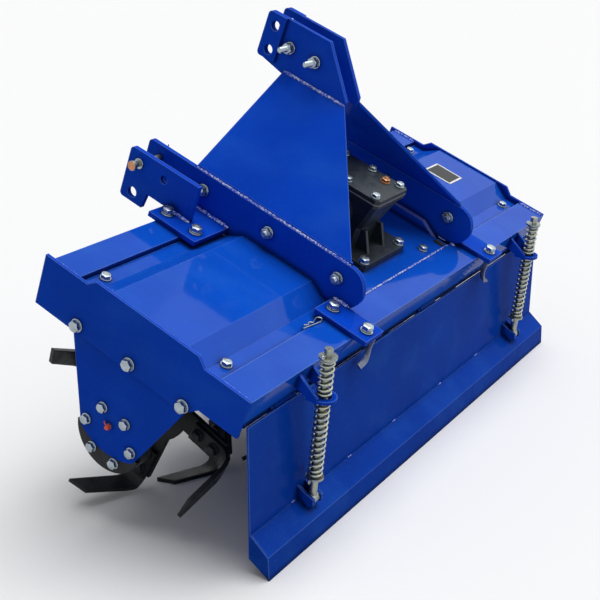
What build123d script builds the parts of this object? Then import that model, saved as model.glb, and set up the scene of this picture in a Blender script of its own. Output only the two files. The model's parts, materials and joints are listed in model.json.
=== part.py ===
from build123d import *
import os
from math import asin, atan2, cos, degrees, hypot, radians, sin

# Rotary tiller carried on a small tractor's three-point hitch, driven through a gear case at its middle.
# Millimetres, X to the machine's right, Y forward, Z up. The machine is modelled level, with Y = 0 at the
# front edge of the end plates and Z = 0 at their top edge, and is then set down as it parks: nose up,
# on its tines and on the lower edge of its tailboard.

# Hood: two end plates joined by a front and a rear beam, with pressed covers between
WIDTH = 1200.0
HOOD_LENGTH = 446.0
END_PLATE = 6.0
END_DROP = 100.0
END_REAR_DROP = 76.0
END_REAR_STEP = 80.0
CROWN_FRONT = 113.0
CROWN_REAR = 336.0
CROWN_RISE = 15.0
CROWN_RAMP = 17.0
BEAM_TOP = -4.0
BEAM_WALL = 4.0
FRONT_SETBACK = 12.0
FRONT_BEAM_WIDTH = 60.0
FRONT_BEAM_HEIGHT = 60.0
REAR_BEAM_WIDTH = 65.0
REAR_BEAM_HEIGHT = 44.0
LEDGE_WIDTH = 30.0
LEDGE_THICK = 4.0
COVER_SHEET = 3.0
COVER_FLANGE_TOP = -12.0
COVER_RISE = 24.0
COVER_FLANGE = 33.0
COVER_RAMP = 40.0
COVER_GAP = 3.0
RIB_THICK = 12.0
RIB_PROUD = 2.0
RIB_DEPTH = 44.0
DECK_THICK = 8.0

# Rotor bearings at both ends
ROTOR_Y = -214.0
ROTOR_Z = -250.0
BEARING_PLATE = 8.0
BEARING_PLATE_LAP = 40.0
BEARING_PLATE_TOP_HALF = 128.0
BEARING_PLATE_LOW_HALF = 62.0
BEARING_PLATE_SAG = 20.0
BEARING_PLATE_LOW = 19.0
HOUSING_RADIUS = 72.0
HOUSING_DEPTH = 22.0
PAD_TOP = 12.0
JOURNAL_RADIUS = 20.0
RUNNING_GAP = 0.3

# Rotor: a tube with three tined flanges on each side of the gear case
ROTOR_TUBE_RADIUS = 32.0
CASE_JOURNAL_RADIUS = 25.0
SHAFT_END_GAP = 2.0
FLANGE_THICK = 8.0
FLANGE_HUB_RADIUS = 64.0
FLANGE_ARM_WIDTH = 46.0
FLANGE_ARM_END = 152.0
FLANGE_STAGGER = 30.0
FLANGES = 3
TINE_THICK = 8.0
TINE_WIDTH = 38.0
TINE_RADIUS = 182.0
TINE_ROOT = 84.0
TINE_LEAD = 25.0
TINE_BEND = 34.0
TINE_BEND_FACETS = 5
TINE_REACH = 112.0
TINE_SWEEP = 50.0
TINE_TIP_BEVEL = 8.0
TINE_SIDE_GAP = 8.0
TINES = 4

# Gearbox on the deck and gear case down to the rotor
GEARBOX_BASE_WIDTH = 170.0
GEARBOX_BASE_LENGTH = 246.0
GEARBOX_BASE = 14.0
GEARBOX_WAIST_WIDTH = 86.0
GEARBOX_WAIST_LENGTH = 136.0
GEARBOX_WAIST_HEIGHT = 54.0
GEARBOX_HEIGHT = 125.0
GEARBOX_TOP_FLANGE = 9.0
GEARBOX_TOP_WIDTH = 120.0
GEARBOX_TOP_LENGTH = 182.0
GEARBOX_COVER = 10.0
GEARBOX_CORNER = 8.0
GEARBOX_LIP = 4.0
GEARBOX_RIB = 8.0
GEARBOX_RIB_INSET = 24.0
GEARBOX_RIB_SHOULDER = 10.0
SIDE_BOSS_RADIUS = 44.0
SIDE_BOSS_REACH = 58.0
SHAFT_HEIGHT = 66.0
FRONT_BOSS_RADIUS = 40.0
FRONT_BOSS_REACH = 150.0
CASE_WIDTH = 90.0
CASE_RADIUS = 62.0
CASE_TOP_LENGTH = 140.0
DECK_CLEARANCE = 3.0
PTO_RADIUS = 17.5
PTO_COLLAR_RADIUS = 24.0
PTO_STUB = 95.0
PTO_GROOVES = 6
PTO_GROOVE_WIDTH = 8.0
PTO_GROOVE_DEPTH = 2.5

# Mast: two bars over the hood, leaning side plates and the top-link lugs
BAR_INNER_X = 220.0
BAR_THICK = 10.0
BAR_TOP = 80.0
BAR_FRONT = 118.0
BAR_REAR_SETBACK = 35.0
BAR_REAR_RADIUS = 40.0
SIDE_GAP = 2.0
MAST_PLATE = 6.0
MAST_INSET = 4.0
MAST_FOLD = 5.0
MAST_FRONT_LOW = 0.0
MAST_REAR_SETBACK = 45.0
MAST_FRONT_HIGH = -3.0
MAST_REAR_HIGH = -153.0
MAST_SEAM_Z = 252.0
LUG_GAP = 40.0
LUG_THICK = 8.0
LUG_TOP = 350.0
LUG_FRONT = 65.0
LUG_REAR_TOP = -79.0
DOUBLER_THICK = 6.0
DOUBLER_REAR = 22.0
DOUBLER_BOTTOM = 258.0
TOP_LINK_RADIUS = 10.0
TOP_LINK_Y = 42.0
TOP_LINK_Z = (277.0, 326.0)
LUG_CORNER = 8.0
SPACER_RADIUS = 11.0
SPACER_Y = (0.0, -62.0)
SPACER_Z = 299.0

# Lower hitch clevises and the feet that bolt the mast to the beams
CLEVIS_OUTER_X = 290.0
CLEVIS_THICK = 10.0
CLEVIS_FRONT = 112.0
CLEVIS_REAR = -57.0
CLEVIS_TOP = 82.0
NOSE_LENGTH = 56.0
NOSE_BOTTOM = -27.0
NOSE_ROOT = 5.0
NOSE_CORNER = 8.0
HITCH_PIN_RADIUS = 6.0
HITCH_HOLE_RADIUS = 11.0
HITCH_PIN_Y = 85.0
HITCH_PIN_Z = 55.0
HITCH_HOLE_Y = 85.0
HITCH_HOLE_Z = -8.0
SPARE_HOLE_RADIUS = 8.0
SPARE_HOLE_Y = 22.0
SPARE_HOLE_Z = 54.0
PIN_HEAD_RADIUS = 9.5
PIN_HEAD = 6.0
PIN_NECK = 16.0
PIN_TAIL = 14.0
FOOT_THICK = 10.0
FRONT_FOOT_OUTER_X = 332.0
FRONT_FOOT_OVERHANG = 19.0
FRONT_FOOT_LAP = 35.0
REAR_FOOT_OUTER_X = 292.0
REAR_FOOT_LAP = 22.0
REAR_FOOT_OVERHANG = 27.0

# Tailboard, hinged under the rear beam
HINGE_SETBACK = -5.0
HINGE_ROD_RADIUS = 5.0
KNUCKLE_RADIUS = 10.0
KNUCKLE_LENGTH = 60.0
KNUCKLE_GAP = 1.0
HINGE_LUG_RADIUS = 8.5
HINGE_LUG_THICK = 8.0
HINGE_LUG_LENGTH = 38.0
HINGE_EDGE = 76.0
BOARD_SIDE_GAP = 11.0
BOARD_SHEET = 4.0
BOARD_LENGTH = 240.0
BOARD_LEAN = 21.3
BOARD_TOP_RISE = 1.0
STIFFENER_START = 195.0
STIFFENER_DEPTH = 35.0
STIFFENER_FALL = 31.0
LIP_LENGTH = 43.0
LIP_LEAN = 24.0

# Spring rods between the tailboard and brackets on the rear beam
ROD_INSET = 165.0
ROD_RADIUS = 7.5
ROD_LENGTH = 290.0
ROD_TOP_PROUD = 18.0
ROD_PIN_DOWN = 195.0
ROD_PIN_OUT = 21.0
ROD_PIN_RADIUS = 5.0
ROD_EYE_RADIUS = 10.0
ROD_EYE_WIDTH = 18.0
BOARD_LUG_THICK = 6.0
BOARD_LUG_RADIUS = 12.0
BRACKET_EYE_OUT = 46.0
BRACKET_EYE_Z = -36.0
BRACKET_SEAT = 6.0
BRACKET_RADIUS = 23.0
BRACKET_PLATE = 5.0
SLOT_WIDTH = 16.6
SLOT_LENGTH = 28.0
COLLAR_RADIUS = 16.0
COLLAR = 4.0
LOWER_COLLAR = 42.0
SPRING_RADIUS = 13.5
SPRING_WIRE = 4.5
SPRING_SIDES = 16
SPRING_GAP = 0.5

# Worked out from the sizes above
HALF = WIDTH / 2
END_INNER = HALF - END_PLATE
PLATE_INNER = END_INNER - BEARING_PLATE
FRONT_BEAM_REAR = -FRONT_SETBACK - FRONT_BEAM_WIDTH
REAR_BEAM_REAR = -HOOD_LENGTH
REAR_BEAM_FRONT = REAR_BEAM_REAR + REAR_BEAM_WIDTH
REAR_BEAM_BOTTOM = BEAM_TOP - REAR_BEAM_HEIGHT
COVER_TOP = COVER_FLANGE_TOP + COVER_RISE
BAR_REAR = REAR_BEAM_REAR + BAR_REAR_SETBACK
MAST_REAR_LOW = BAR_REAR + MAST_REAR_SETBACK
BAR_OUTER_X = BAR_INNER_X + BAR_THICK
RIB_OUTER_X = BAR_INNER_X - SIDE_GAP
RIB_INNER_X = RIB_OUTER_X - RIB_THICK
COVER_INNER_X = BAR_OUTER_X + SIDE_GAP
LUG_OUTER_X = LUG_GAP / 2 + LUG_THICK
FOOT_TOP = BEAM_TOP + FOOT_THICK
GEARBOX_BODY_TOP = BEAM_TOP + GEARBOX_HEIGHT - GEARBOX_TOP_FLANGE
GEARBOX_TOP = BEAM_TOP + GEARBOX_HEIGHT

INNER_FLANGE_X = CASE_WIDTH / 2 + TINE_SIDE_GAP + TINE_REACH + FLANGE_THICK / 2
OUTER_FLANGE_X = PLATE_INNER - TINE_SIDE_GAP - TINE_REACH - FLANGE_THICK / 2
FLANGE_PITCH = (OUTER_FLANGE_X - INNER_FLANGE_X) / (FLANGES - 1)
MIDDLE_FLANGE = FLANGES // 2
BOARD_HALF_WIDTH = HALF - BOARD_SIDE_GAP
HINGE_OUTER_X = BOARD_HALF_WIDTH - HINGE_EDGE
HINGE_X = (-HINGE_OUTER_X, 0.0, HINGE_OUTER_X)
ROD_X = HALF - ROD_INSET
TOP_COLLAR = ROD_LENGTH - ROD_TOP_PROUD

HINGE_Y = REAR_BEAM_REAR - HINGE_SETBACK
HINGE_Z = REAR_BEAM_BOTTOM - KNUCKLE_RADIUS - KNUCKLE_GAP


def board_point(down, out):
    """Point of the machine's side view, down the tailboard from its hinge and out behind its rear face."""
    lean = radians(BOARD_LEAN)
    reach = KNUCKLE_RADIUS - KNUCKLE_GAP / 2 + BOARD_SHEET + out
    y = HINGE_Y - down * sin(lean) - reach * cos(lean)
    z = HINGE_Z - down * cos(lean) + reach * sin(lean)
    return (y, z)


FOLD = board_point(STIFFENER_START, 0)
LIP_TOP = board_point(STIFFENER_START + STIFFENER_FALL, STIFFENER_DEPTH)
LIP_FOOT = (
    LIP_TOP[0] - LIP_LENGTH * sin(radians(LIP_LEAN)),
    LIP_TOP[1] - LIP_LENGTH * cos(radians(LIP_LEAN)),
)
ROD_PIN = board_point(ROD_PIN_DOWN, ROD_PIN_OUT)
ROD_SEAT = (REAR_BEAM_REAR - BRACKET_EYE_OUT, BRACKET_EYE_Z)
ROD_SPAN = hypot(ROD_SEAT[0] - ROD_PIN[0], ROD_SEAT[1] - ROD_PIN[1])
ROD_DIRECTION = ((ROD_SEAT[0] - ROD_PIN[0]) / ROD_SPAN, (ROD_SEAT[1] - ROD_PIN[1]) / ROD_SPAN)

# The floor touches the rotor's lowest tines and the tailboard's lip, which gives the nose-up pitch
REACH_BACK = hypot(LIP_FOOT[0] - ROTOR_Y, LIP_FOOT[1] - ROTOR_Z)
PITCH = degrees(asin(TINE_RADIUS / REACH_BACK) - atan2(ROTOR_Z - LIP_FOOT[1], ROTOR_Y - LIP_FOOT[0]))
PARKED = Location((0, 0, 0), (PITCH, 0, 0))
DOWN_ANGLE = -90 - PITCH

pieces = {}


def keep(builder, name):
    """Labels a finished piece and holds it until the whole machine is set down."""
    builder.part.label = name
    pieces[name] = builder.part


def side_plane(x):
    """Plane of the machine's side view at a given X, with Y to its right and Z up."""
    return Plane.YZ.offset(x)


def crown_outline(front, rear, low, high, ramp):
    """Points of a raised crown over the rotor, from front to rear."""
    return [(front + ramp, low), (front, high), (rear, high), (rear - ramp, low)]


# Hood
def end_plate(side, name):
    crown = crown_outline(-CROWN_FRONT, -CROWN_REAR, 0, CROWN_RISE, CROWN_RAMP)
    with BuildPart() as plate:
        with BuildSketch(side_plane(side * HALF)):
            with BuildLine():
                Polyline(
                    (0, -END_DROP),
                    (0, 0),
                    *crown,
                    (-HOOD_LENGTH, 0),
                    (-HOOD_LENGTH, -END_REAR_DROP),
                    (-HOOD_LENGTH + END_REAR_STEP, -END_REAR_DROP),
                    (-HOOD_LENGTH + END_REAR_STEP + END_DROP - END_REAR_DROP, -END_DROP),
                    close=True,
                )
            make_face()
        extrude(amount=-side * END_PLATE)
    keep(plate, name)


def box_beam(front, rear, height, ledge_y, name):
    """Square-tube beam between the end plates, with the ledge that carries the covers' flanges."""
    ledge_top = COVER_FLANGE_TOP - COVER_SHEET
    with BuildPart() as beam:
        with BuildSketch(side_plane(-END_INNER)):
            with Locations(((front + rear) / 2, BEAM_TOP - height / 2)):
                Rectangle(front - rear, height)
                Rectangle(front - rear - 2 * BEAM_WALL, height - 2 * BEAM_WALL, mode=Mode.SUBTRACT)
            with Locations((ledge_y, ledge_top - LEDGE_THICK / 2)):
                Rectangle(LEDGE_WIDTH, LEDGE_THICK)
        extrude(amount=2 * END_INNER)
    keep(beam, name)


def cover_profile(proud, gap):
    """Upper line of a cover, raised by proud and with a gap to the beam at each end."""
    front = FRONT_BEAM_REAR - COVER_FLANGE - COVER_RAMP
    rear = REAR_BEAM_FRONT + COVER_FLANGE + COVER_RAMP
    low = COVER_FLANGE_TOP + proud
    crown = crown_outline(front, rear, low, COVER_TOP + proud, COVER_RAMP)
    return [(FRONT_BEAM_REAR - gap, low), *crown, (REAR_BEAM_FRONT + gap, low)]


def cover(side, name):
    with BuildPart() as panel:
        with BuildSketch(side_plane(side * COVER_INNER_X)):
            with BuildLine():
                top = cover_profile(0, COVER_GAP)
                bottom = [(y, z - COVER_SHEET) for y, z in reversed(top)]
                Polyline(*top, *bottom, close=True)
            make_face()
        extrude(amount=side * (END_INNER - COVER_INNER_X))
    keep(panel, name)


def rib(side, name):
    top = cover_profile(RIB_PROUD, 0)
    with BuildPart() as web:
        with BuildSketch(side_plane(side * RIB_INNER_X)):
            with BuildLine():
                Polyline(*top, (REAR_BEAM_FRONT, -RIB_DEPTH), (FRONT_BEAM_REAR, -RIB_DEPTH), close=True)
            make_face()
            ledge_cut_z = COVER_FLANGE_TOP - COVER_SHEET - LEDGE_THICK / 2
            with Locations(
                (FRONT_BEAM_REAR - LEDGE_WIDTH / 2, ledge_cut_z),
                (REAR_BEAM_FRONT + LEDGE_WIDTH / 2, ledge_cut_z),
            ):
                Rectangle(LEDGE_WIDTH, LEDGE_THICK, mode=Mode.SUBTRACT)
        extrude(amount=side * RIB_THICK)
    keep(web, name)


def deck():
    with BuildPart() as plate:
        with BuildSketch(Plane.XY.offset(BEAM_TOP)):
            with Locations((0, (FRONT_BEAM_REAR + REAR_BEAM_FRONT) / 2)):
                Rectangle(2 * RIB_INNER_X, FRONT_BEAM_REAR - REAR_BEAM_FRONT)
            with Locations((0, ROTOR_Y)):
                Rectangle(
                    CASE_WIDTH + 2 * DECK_CLEARANCE,
                    CASE_TOP_LENGTH + 2 * DECK_CLEARANCE,
                    mode=Mode.SUBTRACT,
                )
        extrude(amount=-DECK_THICK)
    keep(plate, "deck_plate")


# Rotor bearings
def bearing_plate_outline(side):
    """Outline of the lower end plate, narrowing from the hood to the rotor bearing."""
    low = ROTOR_Z - BEARING_PLATE_LOW
    with BuildSketch(side_plane(side * PLATE_INNER)) as outline:
        with BuildLine():
            edges = Polyline(
                (ROTOR_Y + BEARING_PLATE_LOW_HALF, low),
                (ROTOR_Y + BEARING_PLATE_TOP_HALF, -END_DROP),
                (ROTOR_Y + BEARING_PLATE_TOP_HALF, -END_DROP + BEARING_PLATE_LAP),
                (ROTOR_Y - BEARING_PLATE_TOP_HALF, -END_DROP + BEARING_PLATE_LAP),
                (ROTOR_Y - BEARING_PLATE_TOP_HALF, -END_DROP),
                (ROTOR_Y - BEARING_PLATE_LOW_HALF, low),
            )
            ThreePointArc(edges @ 1, (ROTOR_Y, low - BEARING_PLATE_SAG), edges @ 0)
        make_face()
    return outline.sketch


def bearing_plate(side, name):
    with BuildPart() as plate:
        extrude(bearing_plate_outline(side), amount=BEARING_PLATE, dir=(side, 0, 0))
    keep(plate, name)


def bearing_housing(side, name):
    """Round housing inside the bearing plate, with the pad that fills in below the plate's lower edge."""
    with BuildSketch(side_plane(side * PLATE_INNER)) as pad:
        with Locations((ROTOR_Y, ROTOR_Z)):
            Circle(HOUSING_RADIUS)
        with Locations((ROTOR_Y, ROTOR_Z + HOUSING_RADIUS - PAD_TOP)):
            Rectangle(2 * HOUSING_RADIUS, 2 * HOUSING_RADIUS, mode=Mode.SUBTRACT)
    with BuildPart() as housing:
        extrude(pad.sketch, amount=BEARING_PLATE, dir=(side, 0, 0))
        extrude(bearing_plate_outline(side), amount=BEARING_PLATE, dir=(side, 0, 0), mode=Mode.SUBTRACT)
        with BuildSketch(side_plane(side * PLATE_INNER)):
            with Locations((ROTOR_Y, ROTOR_Z)):
                Circle(HOUSING_RADIUS)
                Circle(JOURNAL_RADIUS + RUNNING_GAP, mode=Mode.SUBTRACT)
        extrude(amount=-side * HOUSING_DEPTH)
    keep(housing, name)


# Rotor
def rotor_shaft():
    tube_end = PLATE_INNER - HOUSING_DEPTH - SHAFT_END_GAP
    tube_start = CASE_WIDTH / 2 + SHAFT_END_GAP
    shaft_end = PLATE_INNER - SHAFT_END_GAP
    with BuildPart() as shaft:
        for start, end, radius in (
            (-shaft_end, -tube_end, JOURNAL_RADIUS),
            (-tube_end, -tube_start, ROTOR_TUBE_RADIUS),
            (-tube_start, tube_start, CASE_JOURNAL_RADIUS),
            (tube_start, tube_end, ROTOR_TUBE_RADIUS),
            (tube_end, shaft_end, JOURNAL_RADIUS),
        ):
            with BuildSketch(side_plane(start)):
                with Locations((ROTOR_Y, ROTOR_Z)):
                    Circle(radius)
            extrude(amount=end - start)
    keep(shaft, "rotor_shaft")


def tine_blank():
    """One tine for the right-hand side: a flat shank bent outwards into a blade that sweeps back."""
    def bend(radius):
        """Points round the bend at a given radius, from the shank to the blade."""
        turns = [90 * step / TINE_BEND_FACETS for step in range(TINE_BEND_FACETS + 1)]
        centre = TINE_RADIUS - TINE_BEND
        return [(TINE_BEND - radius * cos(radians(a)), centre + radius * sin(radians(a))) for a in turns]

    with BuildPart() as tine:
        with BuildSketch(Plane.XZ):
            with BuildLine():
                Polyline(
                    (0, TINE_ROOT),
                    *bend(TINE_BEND),
                    (TINE_REACH, TINE_RADIUS),
                    (TINE_REACH, TINE_RADIUS - TINE_THICK),
                    *reversed(bend(TINE_BEND - TINE_THICK)),
                    (TINE_THICK, TINE_ROOT),
                    close=True,
                )
            make_face()
        extrude(amount=TINE_SWEEP + TINE_WIDTH, both=True)
        trailing = TINE_LEAD - TINE_WIDTH / 2
        leading = TINE_LEAD + TINE_WIDTH / 2
        with BuildSketch(Plane.XY):
            with BuildLine():
                Polyline(
                    (0, trailing),
                    (0, leading),
                    (TINE_BEND / 2, leading),
                    (TINE_REACH - TINE_TIP_BEVEL, leading - TINE_SWEEP),
                    (TINE_REACH, trailing - TINE_SWEEP),
                    (TINE_BEND / 2, trailing),
                    close=True,
                )
            make_face()
        extrude(amount=TINE_RADIUS, mode=Mode.INTERSECT)
    return tine.part


def tined_flange(side, x, first_angle, outermost, name):
    """Flange with an arm for each tine. Tines turn out and in by turns, or all outwards at the ends."""
    arm = FLANGE_ARM_END - ROTOR_TUBE_RADIUS
    with BuildPart() as flange:
        with BuildSketch(side_plane(side * x - FLANGE_THICK / 2)):
            with Locations((ROTOR_Y, ROTOR_Z)):
                Circle(FLANGE_HUB_RADIUS)
                with PolarLocations(ROTOR_TUBE_RADIUS + arm / 2, TINES, first_angle):
                    with Locations((0, -TINE_LEAD)):
                        Rectangle(arm, FLANGE_ARM_WIDTH)
                Circle(ROTOR_TUBE_RADIUS, mode=Mode.SUBTRACT)
        extrude(amount=FLANGE_THICK)
        for turn in range(TINES):
            hand = side if outermost or turn % 2 == 0 else -side
            blank = TINE_RIGHT if hand > 0 else TINE_LEFT
            angle = first_angle + turn * 360 / TINES - 90
            seat = Location((side * x + hand * FLANGE_THICK / 2, ROTOR_Y, ROTOR_Z), (angle, 0, 0))
            add(blank.moved(seat))
    keep(flange, name)


# Gearbox and drive
def bevelled_rectangle(width, length):
    """Section of the casting, with its corners taken off."""
    x = width / 2
    y = length / 2
    corner = GEARBOX_CORNER
    quarter = [(x - corner, y), (x, y - corner)]
    half = quarter + [(a, -b) for a, b in reversed(quarter)]
    return Polygon(*half, *[(-a, b) for a, b in reversed(half)], align=None)


def gearbox_housing():
    """Casting that narrows from its top flange to a waist, with corner ribs down to the base."""
    foot = BEAM_TOP + GEARBOX_BASE
    waist = BEAM_TOP + GEARBOX_WAIST_HEIGHT
    neck_width = GEARBOX_TOP_WIDTH - 2 * GEARBOX_LIP
    neck_length = GEARBOX_TOP_LENGTH - 2 * GEARBOX_LIP
    with BuildPart() as box:
        for height, amount, width, length in (
            (BEAM_TOP, GEARBOX_BASE, GEARBOX_BASE_WIDTH, GEARBOX_BASE_LENGTH),
            (foot, waist - foot, GEARBOX_WAIST_WIDTH, GEARBOX_WAIST_LENGTH),
            (GEARBOX_BODY_TOP, GEARBOX_TOP_FLANGE, GEARBOX_TOP_WIDTH, GEARBOX_TOP_LENGTH),
        ):
            with BuildSketch(Plane.XY.offset(height)):
                with Locations((0, ROTOR_Y)):
                    bevelled_rectangle(width, length)
            extrude(amount=amount)
        with BuildSketch(Plane.XY.offset(waist)):
            with Locations((0, ROTOR_Y)):
                bevelled_rectangle(GEARBOX_WAIST_WIDTH, GEARBOX_WAIST_LENGTH)
        with BuildSketch(Plane.XY.offset(GEARBOX_BODY_TOP)):
            with Locations((0, ROTOR_Y)):
                bevelled_rectangle(neck_width, neck_length)
        loft()
        with BuildSketch(side_plane(-SIDE_BOSS_REACH)):
            with Locations((ROTOR_Y, SHAFT_HEIGHT)):
                Circle(SIDE_BOSS_RADIUS)
        extrude(amount=2 * SIDE_BOSS_REACH)
        with BuildSketch(Plane.XZ.offset(-ROTOR_Y)):
            with Locations((0, SHAFT_HEIGHT)):
                Circle(FRONT_BOSS_RADIUS)
        extrude(amount=-FRONT_BOSS_REACH)
        rib_foot = GEARBOX_BASE_LENGTH / 2 - GEARBOX_RIB_INSET
        rib_top = GEARBOX_WAIST_LENGTH / 2 + GEARBOX_RIB_SHOULDER
        rib_start = GEARBOX_WAIST_WIDTH / 2 - GEARBOX_CORNER - GEARBOX_RIB
        for rib_x in (-rib_start - GEARBOX_RIB, rib_start):
            with BuildSketch(side_plane(rib_x)):
                with BuildLine():
                    Polyline(
                        (ROTOR_Y - rib_foot, foot),
                        (ROTOR_Y - rib_top, waist),
                        (ROTOR_Y + rib_top, waist),
                        (ROTOR_Y + rib_foot, foot),
                        close=True,
                    )
                make_face()
            extrude(amount=GEARBOX_RIB)
        with BuildSketch(Plane.XZ.offset(-ROTOR_Y - FRONT_BOSS_REACH)):
            with Locations((0, SHAFT_HEIGHT)):
                Circle(PTO_COLLAR_RADIUS + RUNNING_GAP)
        extrude(amount=FRONT_BOSS_REACH / 3, mode=Mode.SUBTRACT)
    keep(box, "gearbox_housing")


def gearbox_cover():
    with BuildPart() as lid:
        with BuildSketch(Plane.XY.offset(GEARBOX_TOP)):
            with Locations((0, ROTOR_Y)):
                bevelled_rectangle(GEARBOX_TOP_WIDTH, GEARBOX_TOP_LENGTH)
        extrude(amount=GEARBOX_COVER)
    keep(lid, "gearbox_cover")


def gear_case():
    """Narrow case between the rotor halves, from the gearbox down to the rotor shaft."""
    half = CASE_TOP_LENGTH / 2
    with BuildPart() as case:
        with BuildSketch(side_plane(-CASE_WIDTH / 2)):
            with Locations((ROTOR_Y, ROTOR_Z)):
                Circle(CASE_RADIUS)
            with BuildLine():
                Polyline(
                    (ROTOR_Y + CASE_RADIUS, ROTOR_Z),
                    (ROTOR_Y + half, BEAM_TOP),
                    (ROTOR_Y - half, BEAM_TOP),
                    (ROTOR_Y - CASE_RADIUS, ROTOR_Z),
                    close=True,
                )
            make_face()
            with Locations((ROTOR_Y, ROTOR_Z)):
                Circle(CASE_JOURNAL_RADIUS + RUNNING_GAP, mode=Mode.SUBTRACT)
        extrude(amount=CASE_WIDTH)
    keep(case, "gear_case")


def pto_shaft():
    """Splined input stub that stands forward out of the gearbox."""
    start = ROTOR_Y + FRONT_BOSS_REACH - FRONT_BOSS_REACH / 3 + RUNNING_GAP
    collar = FRONT_BOSS_REACH / 3
    with BuildPart() as stub:
        with BuildSketch(Plane.XZ.offset(-start)):
            with Locations((0, SHAFT_HEIGHT)):
                Circle(PTO_COLLAR_RADIUS)
        extrude(amount=-collar)
        with BuildSketch(Plane.XZ.offset(-start - collar)):
            with Locations((0, SHAFT_HEIGHT)):
                Circle(PTO_RADIUS)
                with PolarLocations(PTO_RADIUS, PTO_GROOVES):
                    Rectangle(2 * PTO_GROOVE_DEPTH, PTO_GROOVE_WIDTH, mode=Mode.SUBTRACT)
        extrude(amount=-PTO_STUB)
    keep(stub, "pto_shaft")


# Mast and hitch
def nose_outline(front):
    """Front end of a hitch cheek: its top corner and the nose that drops below the feet."""
    return [
        (front, BAR_TOP),
        (front, NOSE_BOTTOM),
        (front - NOSE_LENGTH, NOSE_BOTTOM),
        (front - NOSE_LENGTH - NOSE_ROOT, BEAM_TOP),
    ]


def hitch_holes():
    with Locations((HITCH_PIN_Y, HITCH_PIN_Z)):
        Circle(HITCH_PIN_RADIUS + RUNNING_GAP, mode=Mode.SUBTRACT)
    with Locations((HITCH_HOLE_Y, HITCH_HOLE_Z)):
        Circle(HITCH_HOLE_RADIUS, mode=Mode.SUBTRACT)


def mast_bar(side, name):
    with BuildPart() as bar:
        with BuildSketch(side_plane(side * BAR_INNER_X)) as outline:
            with BuildLine():
                Polyline(
                    (BAR_REAR + BAR_REAR_RADIUS, BAR_TOP),
                    *nose_outline(BAR_FRONT),
                    (BAR_REAR + BAR_REAR_RADIUS, BEAM_TOP),
                )
                ThreePointArc(
                    (BAR_REAR + BAR_REAR_RADIUS, BEAM_TOP),
                    (BAR_REAR, (BEAM_TOP + BAR_TOP) / 2),
                    (BAR_REAR + BAR_REAR_RADIUS, BAR_TOP),
                )
            make_face()
            fillet(outline.vertices().group_by(Axis.X)[-1], radius=NOSE_CORNER)
            hitch_holes()
        extrude(amount=side * BAR_THICK)
    keep(bar, name)


def mast_plate(side, name):
    """Side plate that stands on the bar, folds and leans in to the side of the top-link lug."""
    fold_x = BAR_OUTER_X - MAST_INSET
    fold_z = BAR_TOP + MAST_FOLD
    run = fold_x - LUG_OUTER_X
    rise = MAST_SEAM_Z - fold_z
    slope = hypot(run, rise)
    reach = Vector(-side * run / slope, 0, rise / slope)
    foot = (side * fold_x, 0, fold_z)
    lean = Plane(origin=foot, x_dir=(0, 1, 0), z_dir=Vector(0, 1, 0).cross(reach))
    extra = 2 * MAST_PLATE
    low_step = extra * (MAST_REAR_HIGH - MAST_REAR_LOW) / slope
    high = slope + extra
    with BuildPart() as plate:
        with BuildSketch(lean):
            with BuildLine():
                Polyline(
                    (MAST_FRONT_LOW, -extra),
                    (MAST_FRONT_HIGH, high),
                    (MAST_REAR_HIGH + low_step, high),
                    (MAST_REAR_LOW - low_step, -extra),
                    close=True,
                )
            make_face()
        extrude(amount=-side * MAST_PLATE)
        split(bisect_by=Plane.XY.offset(fold_z), keep=Keep.TOP)
        split(bisect_by=Plane.YZ.offset(side * LUG_OUTER_X), keep=Keep.TOP if side > 0 else Keep.BOTTOM)
        with BuildSketch(side_plane(side * fold_x)):
            with Locations(((MAST_FRONT_LOW + MAST_REAR_LOW) / 2, (BAR_TOP + fold_z) / 2)):
                Rectangle(MAST_FRONT_LOW - MAST_REAR_LOW, MAST_FOLD)
        extrude(amount=-side * MAST_PLATE)
    keep(plate, name)


def top_lug(side, name):
    """Upright lug plate with its front doubler and the two top-link holes."""
    with BuildPart() as lug:
        with BuildSketch(side_plane(side * LUG_GAP / 2)) as plate:
            with BuildLine():
                Polyline(
                    (LUG_FRONT, LUG_TOP),
                    (LUG_FRONT, DOUBLER_BOTTOM),
                    (MAST_FRONT_HIGH, MAST_SEAM_Z - LUG_THICK),
                    (MAST_REAR_HIGH, MAST_SEAM_Z - LUG_THICK),
                    (MAST_REAR_HIGH, MAST_SEAM_Z + LUG_THICK),
                    (LUG_REAR_TOP, LUG_TOP),
                    close=True,
                )
            make_face()
            fillet(plate.vertices().group_by(Axis.X)[-1], radius=LUG_CORNER)
        extrude(amount=side * LUG_THICK)
        with BuildSketch(side_plane(side * LUG_OUTER_X)) as doubler:
            with BuildLine():
                Polyline(
                    (LUG_FRONT, LUG_TOP),
                    (LUG_FRONT, DOUBLER_BOTTOM),
                    (DOUBLER_REAR, DOUBLER_BOTTOM),
                    (DOUBLER_REAR, LUG_TOP),
                    close=True,
                )
            make_face()
            fillet(doubler.vertices().group_by(Axis.X)[-1], radius=LUG_CORNER)
        extrude(amount=side * DOUBLER_THICK)
        with BuildSketch(side_plane(side * LUG_GAP / 2)):
            with Locations(*[(TOP_LINK_Y, z) for z in TOP_LINK_Z]):
                Circle(TOP_LINK_RADIUS)
        extrude(amount=side * (LUG_THICK + DOUBLER_THICK), mode=Mode.SUBTRACT)
    keep(lug, name)


def lug_spacers():
    """Two spacer tubes that hold the lugs apart round their through bolts."""
    with BuildPart() as spacers:
        with BuildSketch(side_plane(-LUG_GAP / 2)):
            with Locations(*[(y, SPACER_Z) for y in SPACER_Y]):
                Circle(SPACER_RADIUS)
        extrude(amount=LUG_GAP)
    keep(spacers, "lug_spacers")


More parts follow.
